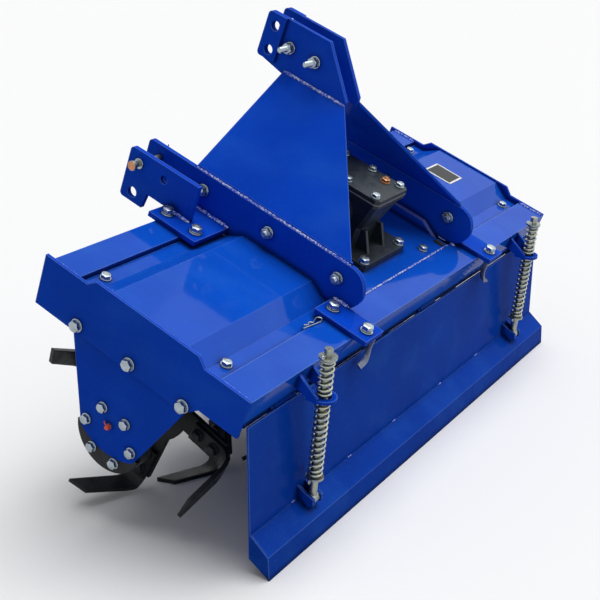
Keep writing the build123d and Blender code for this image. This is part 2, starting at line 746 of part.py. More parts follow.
def clevis_plate(side, name):
    with BuildPart() as cheek:
        with BuildSketch(side_plane(side * (CLEVIS_OUTER_X - CLEVIS_THICK))) as outline:
            with BuildLine():
                Polyline(
                    (CLEVIS_REAR, CLEVIS_TOP),
                    (CLEVIS_FRONT, BAR_TOP),
                    (CLEVIS_FRONT, NOSE_BOTTOM),
                    (CLEVIS_FRONT - NOSE_LENGTH, NOSE_BOTTOM),
                    (CLEVIS_FRONT - NOSE_LENGTH - NOSE_ROOT, FOOT_TOP),
                    (CLEVIS_REAR, FOOT_TOP),
                    close=True,
                )
            make_face()
            fillet(outline.vertices().group_by(Axis.X)[-1], radius=NOSE_CORNER)
            hitch_holes()
            with Locations((SPARE_HOLE_Y, SPARE_HOLE_Z)):
                Circle(SPARE_HOLE_RADIUS, mode=Mode.SUBTRACT)
        extrude(amount=side * CLEVIS_THICK)
    keep(cheek, name)


def hitch_pin(side, name):
    """Lower-link pin through the upper holes of one clevis, its head standing out on a neck."""
    start = BAR_INNER_X - PIN_TAIL
    head = CLEVIS_OUTER_X + PIN_NECK
    with BuildPart() as pin:
        with BuildSketch(side_plane(side * start)):
            with Locations((HITCH_PIN_Y, HITCH_PIN_Z)):
                Circle(HITCH_PIN_RADIUS)
        extrude(amount=side * (head - start))
        with BuildSketch(side_plane(side * head)):
            with Locations((HITCH_PIN_Y, HITCH_PIN_Z)):
                Circle(PIN_HEAD_RADIUS)
        extrude(amount=side * PIN_HEAD)
    keep(pin, name)


def mast_feet(outer_x, front, rear, name):
    """Pair of flat feet beside the bars, bolted down to a beam."""
    with BuildPart() as feet:
        with BuildSketch(Plane.XY.offset(BEAM_TOP)):
            middle = (outer_x + BAR_OUTER_X) / 2
            with Locations((-middle, (front + rear) / 2), (middle, (front + rear) / 2)):
                Rectangle(outer_x - BAR_OUTER_X, front - rear)
        extrude(amount=FOOT_THICK)
    keep(feet, name)


# Tailboard and its hinge
def hinge_rod():
    with BuildPart() as rod:
        with BuildSketch(side_plane(-BOARD_HALF_WIDTH + BOARD_SHEET)):
            with Locations((HINGE_Y, HINGE_Z)):
                Circle(HINGE_ROD_RADIUS)
        extrude(amount=2 * (BOARD_HALF_WIDTH - BOARD_SHEET))
    keep(rod, "hinge_rod")


def hinge_lugs():
    """Lugs under the rear beam that carry the hinge rod."""
    with BuildPart() as lugs:
        for x in HINGE_X:
            with BuildSketch(side_plane(x - HINGE_LUG_THICK / 2)):
                with Locations((HINGE_Y, HINGE_Z)):
                    Circle(HINGE_LUG_RADIUS)
                with BuildLine():
                    Polyline(
                        (HINGE_Y, HINGE_Z - HINGE_LUG_RADIUS),
                        (HINGE_Y + HINGE_LUG_LENGTH, REAR_BEAM_BOTTOM),
                        (HINGE_Y, REAR_BEAM_BOTTOM),
                        close=True,
                    )
                make_face()
                with Locations((HINGE_Y, HINGE_Z)):
                    Circle(HINGE_ROD_RADIUS, mode=Mode.SUBTRACT)
            extrude(amount=HINGE_LUG_THICK)
    keep(lugs, "hinge_lugs")


def tailboard():
    """Leaning sheet with a folded stiffener along its foot, capped ends and hinge knuckles."""
    sheet_top = -BOARD_TOP_RISE
    with BuildPart() as board:
        with BuildSketch(side_plane(-BOARD_HALF_WIDTH)):
            with BuildLine():
                Polyline(
                    board_point(sheet_top, 0),
                    board_point(BOARD_LENGTH, 0),
                    board_point(BOARD_LENGTH, -BOARD_SHEET),
                    board_point(sheet_top, -BOARD_SHEET),
                    close=True,
                )
            make_face()
            with BuildLine():
                Polyline(board_point(STIFFENER_START, -BOARD_SHEET / 2), LIP_TOP, LIP_FOOT)
                offset(amount=BOARD_SHEET, side=Side.LEFT, kind=Kind.INTERSECTION)
            make_face()
        extrude(amount=2 * BOARD_HALF_WIDTH)
        for start in (-BOARD_HALF_WIDTH, BOARD_HALF_WIDTH - BOARD_SHEET):
            with BuildSketch(side_plane(start)):
                with BuildLine():
                    Polyline(FOLD, LIP_TOP, LIP_FOOT, board_point(BOARD_LENGTH, -BOARD_SHEET), close=True)
                make_face()
            extrude(amount=BOARD_SHEET)
        step = HINGE_LUG_THICK / 2 + KNUCKLE_GAP
        for x in HINGE_X:
            start = x - step - KNUCKLE_LENGTH if x > 0 else x + step
            with BuildSketch(side_plane(start)):
                with Locations((HINGE_Y, HINGE_Z)):
                    Circle(KNUCKLE_RADIUS)
            extrude(amount=KNUCKLE_LENGTH)
        with BuildSketch(side_plane(-BOARD_HALF_WIDTH)):
            with Locations((HINGE_Y, HINGE_Z)):
                Circle(HINGE_ROD_RADIUS + RUNNING_GAP)
        extrude(amount=2 * BOARD_HALF_WIDTH, mode=Mode.SUBTRACT)
    keep(board, "tailboard")


def board_lugs():
    """Forked lugs on the tailboard with the pins that the spring rods turn on."""
    inner = ROD_EYE_WIDTH / 2 + RUNNING_GAP
    outer = inner + BOARD_LUG_THICK
    with BuildPart() as lugs:
        for x in (-ROD_X, ROD_X):
            for start in (x + inner, x - outer):
                with BuildSketch(side_plane(start)):
                    with BuildLine():
                        Polyline(
                            board_point(ROD_PIN_DOWN - 2 * BOARD_LUG_RADIUS, 0),
                            board_point(ROD_PIN_DOWN - BOARD_LUG_RADIUS, ROD_PIN_OUT),
                            board_point(ROD_PIN_DOWN - BOARD_LUG_RADIUS / 2, ROD_PIN_OUT + BOARD_LUG_RADIUS),
                            board_point(ROD_PIN_DOWN + BOARD_LUG_RADIUS / 2, ROD_PIN_OUT + BOARD_LUG_RADIUS),
                            board_point(ROD_PIN_DOWN + BOARD_LUG_RADIUS, ROD_PIN_OUT),
                            board_point(STIFFENER_START, ROD_PIN_OUT - BOARD_LUG_RADIUS),
                            board_point(STIFFENER_START, 0),
                            close=True,
                        )
                    make_face()
                extrude(amount=BOARD_LUG_THICK)
            with BuildSketch(side_plane(x - outer)):
                with Locations(ROD_PIN):
                    Circle(ROD_PIN_RADIUS)
            extrude(amount=2 * outer)
        with BuildSketch(side_plane(-BOARD_HALF_WIDTH)):
            with BuildLine():
                Polyline(
                    FOLD,
                    LIP_TOP,
                    (LIP_TOP[0], LIP_TOP[1] - LIP_LENGTH),
                    board_point(BOARD_LENGTH, 0),
                    close=True,
                )
            make_face()
        extrude(amount=2 * BOARD_HALF_WIDTH, mode=Mode.SUBTRACT)
    keep(lugs, "tailboard_lugs")


# Spring rods
def rod_plane(side, along=0.0):
    """Plane across a spring rod, a given way up from its pin, with its normal along the rod."""
    y = ROD_PIN[0] + along * ROD_DIRECTION[0]
    z = ROD_PIN[1] + along * ROD_DIRECTION[1]
    return Plane(origin=(side * ROD_X, y, z), x_dir=(1, 0, 0), z_dir=(0, *ROD_DIRECTION))


def spring_rod(side, name):
    with BuildPart() as rod:
        with BuildSketch(rod_plane(side)):
            Circle(ROD_RADIUS)
        extrude(amount=ROD_LENGTH)
        for along in (LOWER_COLLAR, TOP_COLLAR):
            with BuildSketch(rod_plane(side, along)):
                Circle(COLLAR_RADIUS)
            extrude(amount=COLLAR)
        with BuildSketch(side_plane(side * ROD_X - ROD_EYE_WIDTH / 2)):
            with Locations(ROD_PIN):
                Circle(ROD_EYE_RADIUS)
        extrude(amount=ROD_EYE_WIDTH)
        with BuildSketch(side_plane(side * ROD_X - ROD_EYE_WIDTH)):
            with Locations(ROD_PIN):
                Circle(ROD_PIN_RADIUS + RUNNING_GAP)
        extrude(amount=2 * ROD_EYE_WIDTH, mode=Mode.SUBTRACT)
    keep(rod, name)


def spring(side, start, end, name):
    """Sleeve over the space of a coil spring, with few sides."""
    with BuildPart() as coil:
        with BuildSketch(rod_plane(side, start)):
            RegularPolygon(SPRING_RADIUS, SPRING_SIDES)
            RegularPolygon(SPRING_RADIUS - SPRING_WIRE, SPRING_SIDES, mode=Mode.SUBTRACT)
        extrude(amount=end - start)
    keep(coil, name)


def spring_bracket(side, name):
    """Seat for both springs, held behind the rear beam by two side plates."""
    seat = rod_plane(side, ROD_SPAN - BRACKET_SEAT / 2)
    with BuildPart() as bracket:
        with BuildSketch(seat):
            Circle(BRACKET_RADIUS)
            with Locations((0, BRACKET_RADIUS / 2)):
                Rectangle(2 * BRACKET_RADIUS, BRACKET_RADIUS)
            SlotOverall(SLOT_LENGTH, SLOT_WIDTH, rotation=90, mode=Mode.SUBTRACT)
        extrude(amount=BRACKET_SEAT)
        for start in (-BRACKET_RADIUS, BRACKET_RADIUS - BRACKET_PLATE):
            with BuildSketch(side_plane(side * ROD_X + start)):
                with BuildLine():
                    Polyline(
                        (REAR_BEAM_REAR, BEAM_TOP - BRACKET_SEAT),
                        (REAR_BEAM_REAR, REAR_BEAM_BOTTOM + 2 * BRACKET_SEAT),
                        (ROD_SEAT[0], ROD_SEAT[1] - BRACKET_SEAT),
                        (ROD_SEAT[0], ROD_SEAT[1] + BRACKET_SEAT),
                        close=True,
                    )
                make_face()
            extrude(amount=BRACKET_PLATE)
    keep(bracket, name)


SIDES = ((-1, "left"), (1, "right"))
TINE_RIGHT = tine_blank()
TINE_LEFT = mirror(TINE_RIGHT, about=Plane.YZ)

for side, word in SIDES:
    end_plate(side, f"end_plate_{word}")
    cover(side, f"hood_cover_{word}")
    rib(side, f"hood_rib_{word}")
    bearing_plate(side, f"bearing_plate_{word}")
    bearing_housing(side, f"bearing_housing_{word}")
    mast_bar(side, f"mast_bar_{word}")
    mast_plate(side, f"mast_plate_{word}")
    top_lug(side, f"top_lug_{word}")
    clevis_plate(side, f"clevis_plate_{word}")
    hitch_pin(side, f"hitch_pin_{word}")
    spring_bracket(side, f"spring_bracket_{word}")
    spring_rod(side, f"spring_rod_{word}")
    seat_low = ROD_SPAN - BRACKET_SEAT / 2 - SPRING_GAP
    seat_high = ROD_SPAN + BRACKET_SEAT / 2 + SPRING_GAP
    spring(side, LOWER_COLLAR + COLLAR, seat_low, f"lower_spring_{word}")
    spring(side, seat_high, TOP_COLLAR, f"upper_spring_{word}")
    for place in range(FLANGES):
        x = INNER_FLANGE_X + place * FLANGE_PITCH
        angle = DOWN_ANGLE + (place - MIDDLE_FLANGE) * FLANGE_STAGGER
        tined_flange(side, x, angle, place == FLANGES - 1, f"tine_flange_{word}_{place + 1}")

box_beam(-FRONT_SETBACK, FRONT_BEAM_REAR, FRONT_BEAM_HEIGHT, FRONT_BEAM_REAR - LEDGE_WIDTH / 2, "front_beam")
box_beam(REAR_BEAM_FRONT, REAR_BEAM_REAR, REAR_BEAM_HEIGHT, REAR_BEAM_FRONT + LEDGE_WIDTH / 2, "rear_beam")
deck()
rotor_shaft()
gearbox_housing()
gearbox_cover()
gear_case()
pto_shaft()
lug_spacers()
mast_feet(
    FRONT_FOOT_OUTER_X,
    -FRONT_SETBACK + FRONT_FOOT_OVERHANG,
    FRONT_BEAM_REAR - FRONT_FOOT_LAP,
    "front_feet",
)
mast_feet(
    REAR_FOOT_OUTER_X,
    REAR_BEAM_FRONT + REAR_FOOT_LAP,
    REAR_BEAM_REAR - REAR_FOOT_OVERHANG,
    "rear_feet",
)
hinge_rod()
hinge_lugs()
tailboard()
board_lugs()

# Set the machine down: pitched nose up, its lowest edge on the floor and its box centred over the origin
pitched = {name: piece.moved(PARKED) for name, piece in pieces.items()}
boxes = [piece.bounding_box() for piece in pitched.values()]
FLOOR = min(box.min.Z for box in boxes)
MIDDLE = (min(box.min.Y for box in boxes) + max(box.max.Y for box in boxes)) / 2
SET_DOWN = Location((0, -MIDDLE, -FLOOR))

os.makedirs("parts", exist_ok=True)
for name, piece in pitched.items():
    standing = piece.moved(SET_DOWN)
    standing.label = name
    export_step(standing, f"parts/{name}.step")

print(f"{len(pieces)} pieces, pitch {PITCH:.3f} degrees, shift {-MIDDLE:.3f} {-FLOOR:.3f}")
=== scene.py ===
import json
import random
from math import atan2, cos, pi, radians, sin, tan, tau

import bmesh
import bpy
from bpy.props import FloatProperty, FloatVectorProperty, IntProperty, PointerProperty
from mathutils import Matrix, Vector


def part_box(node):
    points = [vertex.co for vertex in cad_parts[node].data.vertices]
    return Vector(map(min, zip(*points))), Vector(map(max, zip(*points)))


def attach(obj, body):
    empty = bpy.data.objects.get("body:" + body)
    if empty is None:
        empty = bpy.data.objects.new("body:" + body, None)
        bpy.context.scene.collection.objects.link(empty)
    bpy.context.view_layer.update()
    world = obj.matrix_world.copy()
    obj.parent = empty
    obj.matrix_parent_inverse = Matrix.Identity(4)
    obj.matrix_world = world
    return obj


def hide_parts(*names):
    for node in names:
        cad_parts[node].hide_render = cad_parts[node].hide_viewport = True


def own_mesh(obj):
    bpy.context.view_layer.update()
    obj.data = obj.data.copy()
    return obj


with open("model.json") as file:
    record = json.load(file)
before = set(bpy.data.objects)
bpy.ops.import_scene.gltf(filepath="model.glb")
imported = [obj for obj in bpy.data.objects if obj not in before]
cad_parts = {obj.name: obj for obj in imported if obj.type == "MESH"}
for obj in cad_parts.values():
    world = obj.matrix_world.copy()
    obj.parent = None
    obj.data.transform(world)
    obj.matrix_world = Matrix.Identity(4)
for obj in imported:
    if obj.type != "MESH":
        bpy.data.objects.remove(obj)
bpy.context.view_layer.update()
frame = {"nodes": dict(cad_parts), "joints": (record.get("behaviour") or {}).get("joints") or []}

bl_info = {
    "name": "Rotary tiller",
    "version": (1, 0, 0),
    "blender": (4, 5, 0),
    "location": "View3D > Sidebar > Tiller",
    "description": "Finishes, fasteners, welds, springs and stage for the rotary tiller's frame",
    "category": "Object",
}

JOINTS = {joint["name"]: joint for joint in frame["joints"]}
SIDES = {"left": -1, "right": 1}
UP = Vector((0, 0, 1))

# Places on the level machine, in metres: X to its right, Y forward, Z up from the end plates' top edge
ROTOR_AXIS = Vector((0, -0.214, -0.250))
END_FACE = 0.600
BEARING_FACE = 0.594
BEAM_INNER = 0.594
BEAM_TOP = -0.004
FRONT_BEAM = (-0.012, -0.072)
REAR_BEAM = (-0.381, -0.446)
COVER_FLANGE_TOP = -0.012
COVER_TOP = 0.012
FOOT_TOP = 0.006
FRONT_FOOT = (0.007, -0.107)
REAR_FOOT = (-0.359, -0.473)
BAR_INNER = 0.220
BAR_OUTER = 0.230
BAR_TOP = 0.080
MAST_OUTER = 0.226
MAST_FOOT = (0.0, -0.366)
MAST_SEAM_HEIGHT = 0.252
MAST_SEAM = (-0.003, -0.153)
LUG_OUTER = 0.028
DECK_EDGE = 0.206
GEARBOX_TOP = 0.131
GEARBOX_SEAM = 0.121
GEARBOX_FOOT = 0.010
SIDE_BOSS_FACE = 0.058
CLEVIS_INNER = 0.280
CLEVIS_OUTER = 0.290
CLEVIS_REAR = -0.057
HITCH_PIN = (0.085, 0.055)
PIN_RADIUS = 0.006
PIN_TAIL = 0.206
PIN_HEAD_FACE = 0.312
BOARD_FOLD = (-0.5244, -0.2358)
FLANGE_STAGGER = radians(30)

# A bolt's proportions, in widths across its flats, then its small lengths in metres
WASHER_RADIUS = 0.64
HEAD_HEIGHT = 0.42
STUB_RADIUS = 0.31
FACE_RADII = (0.3, 0.27)
SPLIT_RADIUS = 0.5
SPLIT_THICK = 0.003
SPLIT_SEAT = 0.0028
STUB_SINK = 0.001
FACE_HEIGHT = 0.0005
THREAD_PITCH = 0.00175

# Tones of dust, wear, painted edge highlights, the pale tone of faces that look up, and trim, that no
# setting changes
PAINT_DUST = (0.05, 0.2, 0.62)
PAINT_HAZE = (0.04, 0.21, 0.7)
UPWARD_PALE_TONE = (0.3, 0.34, 0.76)
PAINT_EDGE_HIGHLIGHT = (0.22, 0.4, 0.88)
CASTING_EDGE_WEAR_AND_HIGHLIGHT = (0.1, 0.112, 0.125)
STEEL_EDGE_WEAR_AND_HIGHLIGHT = (0.16, 0.15, 0.14)
BARE_SPATTER = (0.75, 0.8, 0.92)
STRAP_GREY = (0.2, 0.22, 0.28)
STRAP_SHADE = (0.14, 0.16, 0.22)
PLATE_WHITE = (0.78, 0.78, 0.76)
GASKET_GREY = (0.2, 0.2, 0.19)
RUBBER_BLACK = (0.012, 0.012, 0.013)

# The level machine is set down nose up: the packed joints give its pitch and its place
INPUT_AXIS = JOINTS["pto_spin"]["axis"]
PITCH = atan2(INPUT_AXIS[2], INPUT_AXIS[1])
PARKED = (
    Matrix.Translation(JOINTS["rotor_spin"]["pos_m"])
    @ Matrix.Rotation(PITCH, 4, "X")
    @ Matrix.Translation(-ROTOR_AXIS)
)
LEVEL = Matrix.Identity(4)

# The photograph's camera, solved on the level machine
CAMERA_AZIMUTH = radians(-66.18)
CAMERA_ELEVATION = radians(31.42)
CAMERA_ROLL = radians(20.91)
CAMERA_PLACE = Vector((-1.822, -1.002, 1.024))


# Mesh tools
def facing(point, normal, spin=0.0):
    """Matrix with its Z along a normal, at a point."""
    turn = UP.rotation_difference(Vector(normal)).to_matrix().to_4x4()
    return Matrix.Translation(point) @ turn @ Matrix.Rotation(spin, 4, "Z")


def circle(radius, height, segments):
    """Points round the Z axis at a height; a radius of 0 gives one point."""
    if radius == 0:
        return [Vector((0, 0, height))]
    turns = [tau * i / segments for i in range(segments)]
    return [Vector((radius * cos(a), radius * sin(a), height)) for a in turns]


def join_rings(bm, low, high):
    """Faces between two rings of vertices; a ring of one vertex is a pole."""
    count = max(len(low), len(high))
    for i in range(count):
        j = (i + 1) % count
        corners = [low[i % len(low)], low[j % len(low)], high[j % len(high)], high[i % len(high)]]
        bm.faces.new(list(dict.fromkeys(corners)))


def skin(bm, rings, capped):
    """Surface over rings of points, with both ends closed where it is capped."""
    rings = [[bm.verts.new(point) for point in ring] for ring in rings]
    for low, high in zip(rings, rings[1:]):
        join_rings(bm, low, high)
    if capped:
        bm.faces.new(list(reversed(rings[0])))
        bm.faces.new(rings[-1])


def lathe(bm, profile, place, segments=24):
    """Turned piece from (radius, height) points, around the Z of its place."""
    rings = [circle(radius, height, segments) for radius, height in profile]
    skin(bm, [[place @ point for point in ring] for ring in rings], capped=False)


def hexagon(bm, flats, low, high, place, segments=36):
    """Hexagon head or nut with the round bevel that its corners get on a lathe."""
    apothem = flats / 2
    bevel_slope = 0.65
    rim_drop = apothem * 0.03
    crown_radius = apothem * 0.93
    bottom = []
    rim = []
    for i in range(segments):
        a = tau * i / segments
        reach = apothem / cos((a + pi / 6) % (pi / 3) - pi / 6)
        drop = (reach - apothem) * bevel_slope
        corner = Vector((reach * cos(a), reach * sin(a), 0))
        bottom.append(corner + UP * low)
        rim.append(corner + UP * (high - drop - rim_drop))
    rings = (bottom, rim, circle(crown_radius, high, segments))
    skin(bm, [[place @ point for point in ring] for ring in rings], capped=True)


def washer(bm, radius, low, thick, place):
    """Flat washer with softened edges."""
    soft = thick * 0.25
    profile = [(0, low), (radius - soft, low), (radius, low + soft), (radius, low + thick - soft)]
    lathe(bm, profile + [(radius - soft, low + thick), (0, low + thick)], place, 32)


def split_washer(bm, radius, low, thick, place):
    """Spring washer: one open turn with its ends stepped apart."""
    steps = 28
    opening = 16
    mean = radius * 0.82
    start, rise = 0.35, 0.3
    points = []
    for i in range(steps + 1):
        a = radians(opening / 2 + (360 - opening) * i / steps)
        height = low + thick * (start + rise * i / steps)
        points.append(place @ Vector((mean * cos(a), mean * sin(a), height)))
    tube(bm, points, thick * 0.48, 8)


def threaded_end(bm, radius, low, length, place):
    """Bolt end with its thread as close rings and a bevelled tip."""
    root = radius * 0.9
    tip = radius * 0.78
    profile = [(0, low)]
    for i in range(int(length / THREAD_PITCH)):
        profile.append((root, low + i * THREAD_PITCH))
        profile.append((radius, low + (i + 0.5) * THREAD_PITCH))
    lathe(bm, profile + [(tip, low + length), (0, low + length)], place, 20)


def tube(bm, points, radius, segments=8, radii=None):
    """Round bar along a path, with capped ends; it may have a radius of its own at each point."""
    points = [Vector(point) for point in points]
    across = (points[1] - points[0]).normalized().orthogonal().normalized()
    turns = [tau * k / segments for k in range(segments)]
    rings = []
    for i, point in enumerate(points):
        before = points[max(i - 1, 0)]
        after = points[min(i + 1, len(points) - 1)]
        way = (after - before).normalized()
        across = (across - way * across.dot(way)).normalized()
        other = way.cross(across)
        size = radii[i] if radii else radius
        rings.append([point + (across * cos(a) + other * sin(a)) * size for a in turns])
    skin(bm, rings, capped=True)


def smooth_path(corners, step):
    """Points along a curve through the corners, about a step apart."""
    points = []
    ends = [corners[0]] + list(corners) + [corners[-1]]
    for a, b, c, d in zip(ends, ends[1:], ends[2:], ends[3:]):
        count = max(2, int((c - b).length / step))
        for k in range(count):
            t = k / count
            straight = 2 * b + (c - a) * t
            bend = (2 * a - 5 * b + 4 * c - d) * t * t
            sway = (3 * b - a - 3 * c + d) * t ** 3
            points.append(0.5 * (straight + bend + sway))
    points.append(corners[-1])
    return points


def slab(bm, outline, thick, place, soft):
    """Plate with softened edges from an outline on its place's XY plane."""
    face = bm.faces.new([bm.verts.new(place @ Vector((x, y, 0))) for x, y in outline])
    grown = bmesh.ops.extrude_face_region(bm, geom=[face])
    tops = [item for item in grown["geom"] if isinstance(item, bmesh.types.BMVert)]
    rise = (place.to_3x3() @ UP).normalized() * thick
    bmesh.ops.translate(bm, verts=tops, vec=rise)
    edges = {edge for vert in tops for edge in vert.link_edges}
    bmesh.ops.bevel(bm, geom=list(edges), offset=soft, segments=2, affect="EDGES")


def strap(bm, points, width, thick, across):
    """Flat bent bar with softened edges along a path, with its width along one direction."""
    soft = 0.82
    half = ((soft, 1), (1, soft), (1, -soft), (soft, -1))
    section = half + tuple((-u, -v) for u, v in half)
    across = Vector(across).normalized()
    rings = []
    for i, point in enumerate(points):
        way = (points[min(i + 1, len(points) - 1)] - points[max(i - 1, 0)]).normalized()
        wide = across * width / 2
        deep = way.cross(across).normalized() * thick / 2
        rings.append([point + wide * u + deep * v for u, v in section])
    skin(bm, rings, capped=True)


def bead(bm, start, end, radius, seed):
    """Weld bead with the ripple and small waver of a hand-laid seam."""
    chance = random.Random(seed)
    step = 0.0024
    stray = 0.09
    ripple_steps = 2.5
    ripple_low, ripple_depth, ripple_noise = 0.86, 0.14, 0.07
    tip_size, tip_growth = 0.45, 0.25
    start = Vector(start)
    end = Vector(end)
    count = max(6, int((end - start).length / step))
    points = []
    radii = []
    for i in range(count + 1):
        waver = Vector([chance.uniform(-1, 1) for _ in range(3)]) * radius * stray
        points.append(start.lerp(end, i / count) + waver)
        ripple = ripple_low + ripple_depth * abs(sin(pi * i / ripple_steps))
        ripple += chance.uniform(-ripple_noise, ripple_noise)
        taper = min(1.0, tip_size + tip_growth * min(i, count - i))
        radii.append(radius * ripple * taper)
    tube(bm, points, radius, 7, radii)


def spring_clip(bm, place):
    """Bent wire clip, its straight leg along the X of its place."""
    wire = 0.0013
    step = 0.0012
    outline = (
        (0, 0), (0.030, 0.0005), (0.046, 0.001), (0.055, 0.005), (0.056, 0.010), (0.049, 0.013),
        (0.040, 0.010), (0.031, 0.0055), (0.024, 0.009), (0.017, 0.0045), (0.008, 0.007),
    )
    tube(bm, smooth_path([place @ Vector((x, y, 0)) for x, y in outline], step), wire, 8)


# Finishes
def feed(tree, node, inputs):
    """Set a node's inputs, or link those that come from other nodes."""
    for socket, value in inputs.items():
        if isinstance(value, bpy.types.NodeSocket):
            tree.links.new(value, node.inputs[socket])
        else:
            node.inputs[socket].default_value = value


def add_node(tree, kind, inputs, **settings):
    """A new node with its settings and inputs."""
    node = tree.nodes.new(kind)
    for name, value in settings.items():
        setattr(node, name, value)
    feed(tree, node, inputs)
    return node


def tint(colour, factor):
    """The colour made lighter or darker."""
    return tuple(min(1.0, channel * factor) for channel in colour)


class Finish:
    """A new material with its nodes at hand."""

    def __init__(self, name, colour, roughness, metallic=0.0):
        self.material = bpy.data.materials.new(name)
        self.material.use_nodes = True
        self.tree = self.material.node_tree
        self.coordinates = self.tree.nodes.new("ShaderNodeTexCoord").outputs["Object"]
        self.shade({"Base Color": (*colour, 1), "Roughness": roughness, "Metallic": metallic})

    def shade(self, inputs):
        """Set or link the shader's own inputs."""
        feed(self.tree, self.tree.nodes["Principled BSDF"], inputs)

    def noise(self, scale, detail, stretch=(1, 1, 1)):
        """Fractal noise in the piece's own space, as a factor."""
        mapping = add_node(self.tree, "ShaderNodeMapping", {"Scale": stretch, "Vector": self.coordinates})
        inputs = {"Scale": scale, "Detail": detail, "Vector": mapping.outputs["Vector"]}
        return add_node(self.tree, "ShaderNodeTexNoise", inputs).outputs["Fac"]

    def spread(self, value, low, high, start=0.3, end=0.7):
        """A factor mapped from a start and end to low and high."""
        inputs = {"Value": value, "From Min": start, "From Max": end, "To Min": low, "To Max": high}
        return add_node(self.tree, "ShaderNodeMapRange", inputs).outputs["Result"]

    def mix(self, factor, first, second):
        """Two colours mixed by a factor; each may be a colour or another mix."""
        ends = [end if isinstance(end, bpy.types.NodeSocket) else (*end, 1) for end in (first, second)]
        inputs = {"Factor": factor, 6: ends[0], 7: ends[1]}
        return add_node(self.tree, "ShaderNodeMix", inputs, data_type="RGBA").outputs[2]

    def drift(self, colour, scale, detail, darker, lighter):
        """The colour wandering between a darker and a lighter tone."""
        factor = self.spread(self.noise(scale, detail), 0, 1)
        return self.mix(factor, tint(colour, darker), tint(colour, lighter))

    def rounded(self, radius):
        """Normal that turns smoothly round edges."""
        return add_node(self.tree, "ShaderNodeBevel", {"Radius": radius}, samples=4).outputs["Normal"]

    def flat(self):
        """Normal of the surface."""
        return self.tree.nodes.new("ShaderNodeNewGeometry").outputs["Normal"]

    def rise(self, normal):
        """How far a normal points up, from -1 to 1."""
        return add_node(self.tree, "ShaderNodeSeparateXYZ", {"Vector": normal}).outputs["Z"]

    def openness(self, distance, samples):
        """Factor that is 1 in the open and falls in inner corners and where pieces meet."""
        inputs = {"Distance": distance}
        return add_node(self.tree, "ShaderNodeAmbientOcclusion", inputs, samples=samples).outputs["AO"]

    def bump(self, height, strength, distance, edge=0.0):
        """Normal with relief from a height, over edges rounded by a small radius."""
        inputs = {"Height": height, "Strength": strength, "Distance": distance}
        if edge:
            inputs["Normal"] = self.rounded(edge)
        return add_node(self.tree, "ShaderNodeBump", inputs).outputs["Normal"]

    def corners(self, distance, gain):
        """Factor for painted shade: it rises to the gain in inner corners and where pieces meet."""
        return self.spread(self.openness(distance, 8), gain, 0.0, start=0.65, end=0.92)

    def ledges(self, gain):
        """Factor that is the gain on faces that look up."""
        return self.spread(self.rise(self.flat()), 0.0, gain, start=0.3, end=0.55)

    def edges(self, radius, gain):
        """Factor for painted highlights: the gain on outer edges that face up, and 0 on flats, in inner
        corners and on undersides.
        """
        rounded = self.rounded(radius)
        normals = {0: rounded, 1: self.flat()}
        dot = add_node(self.tree, "ShaderNodeVectorMath", normals, operation="DOT_PRODUCT")
        factor = self.spread(dot.outputs["Value"], gain, 0.0, start=0.75, end=0.995)
        in_open = self.spread(self.openness(radius * 2, 4), 0.0, 1.0, start=0.8, end=0.98)
        # Painted highlight: kept to edges that face up, where the light from above falls on them
        lit_from_above = self.spread(self.rise(rounded), 0.0, 1.0, start=-0.25, end=-0.05)
        for other in (in_open, lit_from_above):
            product = add_node(self.tree, "ShaderNodeMath", {0: factor, 1: other}, operation="MULTIPLY")
            factor = product.outputs["Value"]
        return factor


def gloss_paint(name, colour, coat, upward_paleness=0.0):
    """Sprayed enamel: orange peel, drift of tone, dust, painted shade in inner corners, painted highlights
    on outer edges, and a paler tone on faces that look up.
    """
    finish = Finish(name, colour, 0.26)
    specks = finish.spread(finish.noise(160, 6), 0, 0.12, start=0.56, end=0.8)
    dusty = finish.mix(specks, finish.drift(colour, 5, 3, 0.88, 1.1), PAINT_DUST)
    haze = finish.spread(finish.noise(11, 7, (1, 0.45, 1)), 0, 0.14, start=0.5, end=0.72)
    hazy = finish.mix(haze, dusty, PAINT_HAZE)
    # Painted shade: the paint darkened in inner corners and where pieces meet, from an occlusion factor
    with_painted_shade = finish.mix(finish.corners(distance=0.016, gain=0.8), hazy, tint(colour, 0.25))
    # Paler tone on faces that look up, set only for the rib's top
    if upward_paleness:
        with_painted_shade = finish.mix(finish.ledges(upward_paleness), with_painted_shade, UPWARD_PALE_TONE)
    finish.shade({
        # Painted highlight: paler blue on outer edges that face up
        "Base Color": finish.mix(finish.edges(radius=0.003, gain=0.7), with_painted_shade, PAINT_EDGE_HIGHLIGHT),
        "Roughness": finish.spread(finish.noise(28, 5), 0.2, 0.36),
        "Normal": finish.bump(finish.noise(420, 2), strength=0.06, distance=0.0006, edge=0.0013),
        "Specular IOR Level": 0.002,
        "Specular Tint": (0.4, 0.6, 1, 1),
        "Coat Weight": coat,
        "Coat Roughness": 0.06,
    })
    return finish.material


def cast_black(name, colour):
    """Black paint over a sand casting."""
    finish = Finish(name, colour, 0.45)
    tone = finish.drift(colour, 22, 5, 0.65, 1.6)
    finish.shade({
        # Rubbed wear and painted highlight: a paler tone on outer edges that face up
        "Base Color": finish.mix(finish.edges(radius=0.002, gain=0.4), tone, CASTING_EDGE_WEAR_AND_HIGHLIGHT),
        "Roughness": finish.spread(finish.noise(60, 5), 0.32, 0.55),
        "Normal": finish.bump(finish.noise(260, 6), strength=0.35, distance=0.0012, edge=0.002),
        "Specular IOR Level": 0.4,
        "Specular Tint": (0.72, 0.9, 1, 1),
    })
    return finish.material


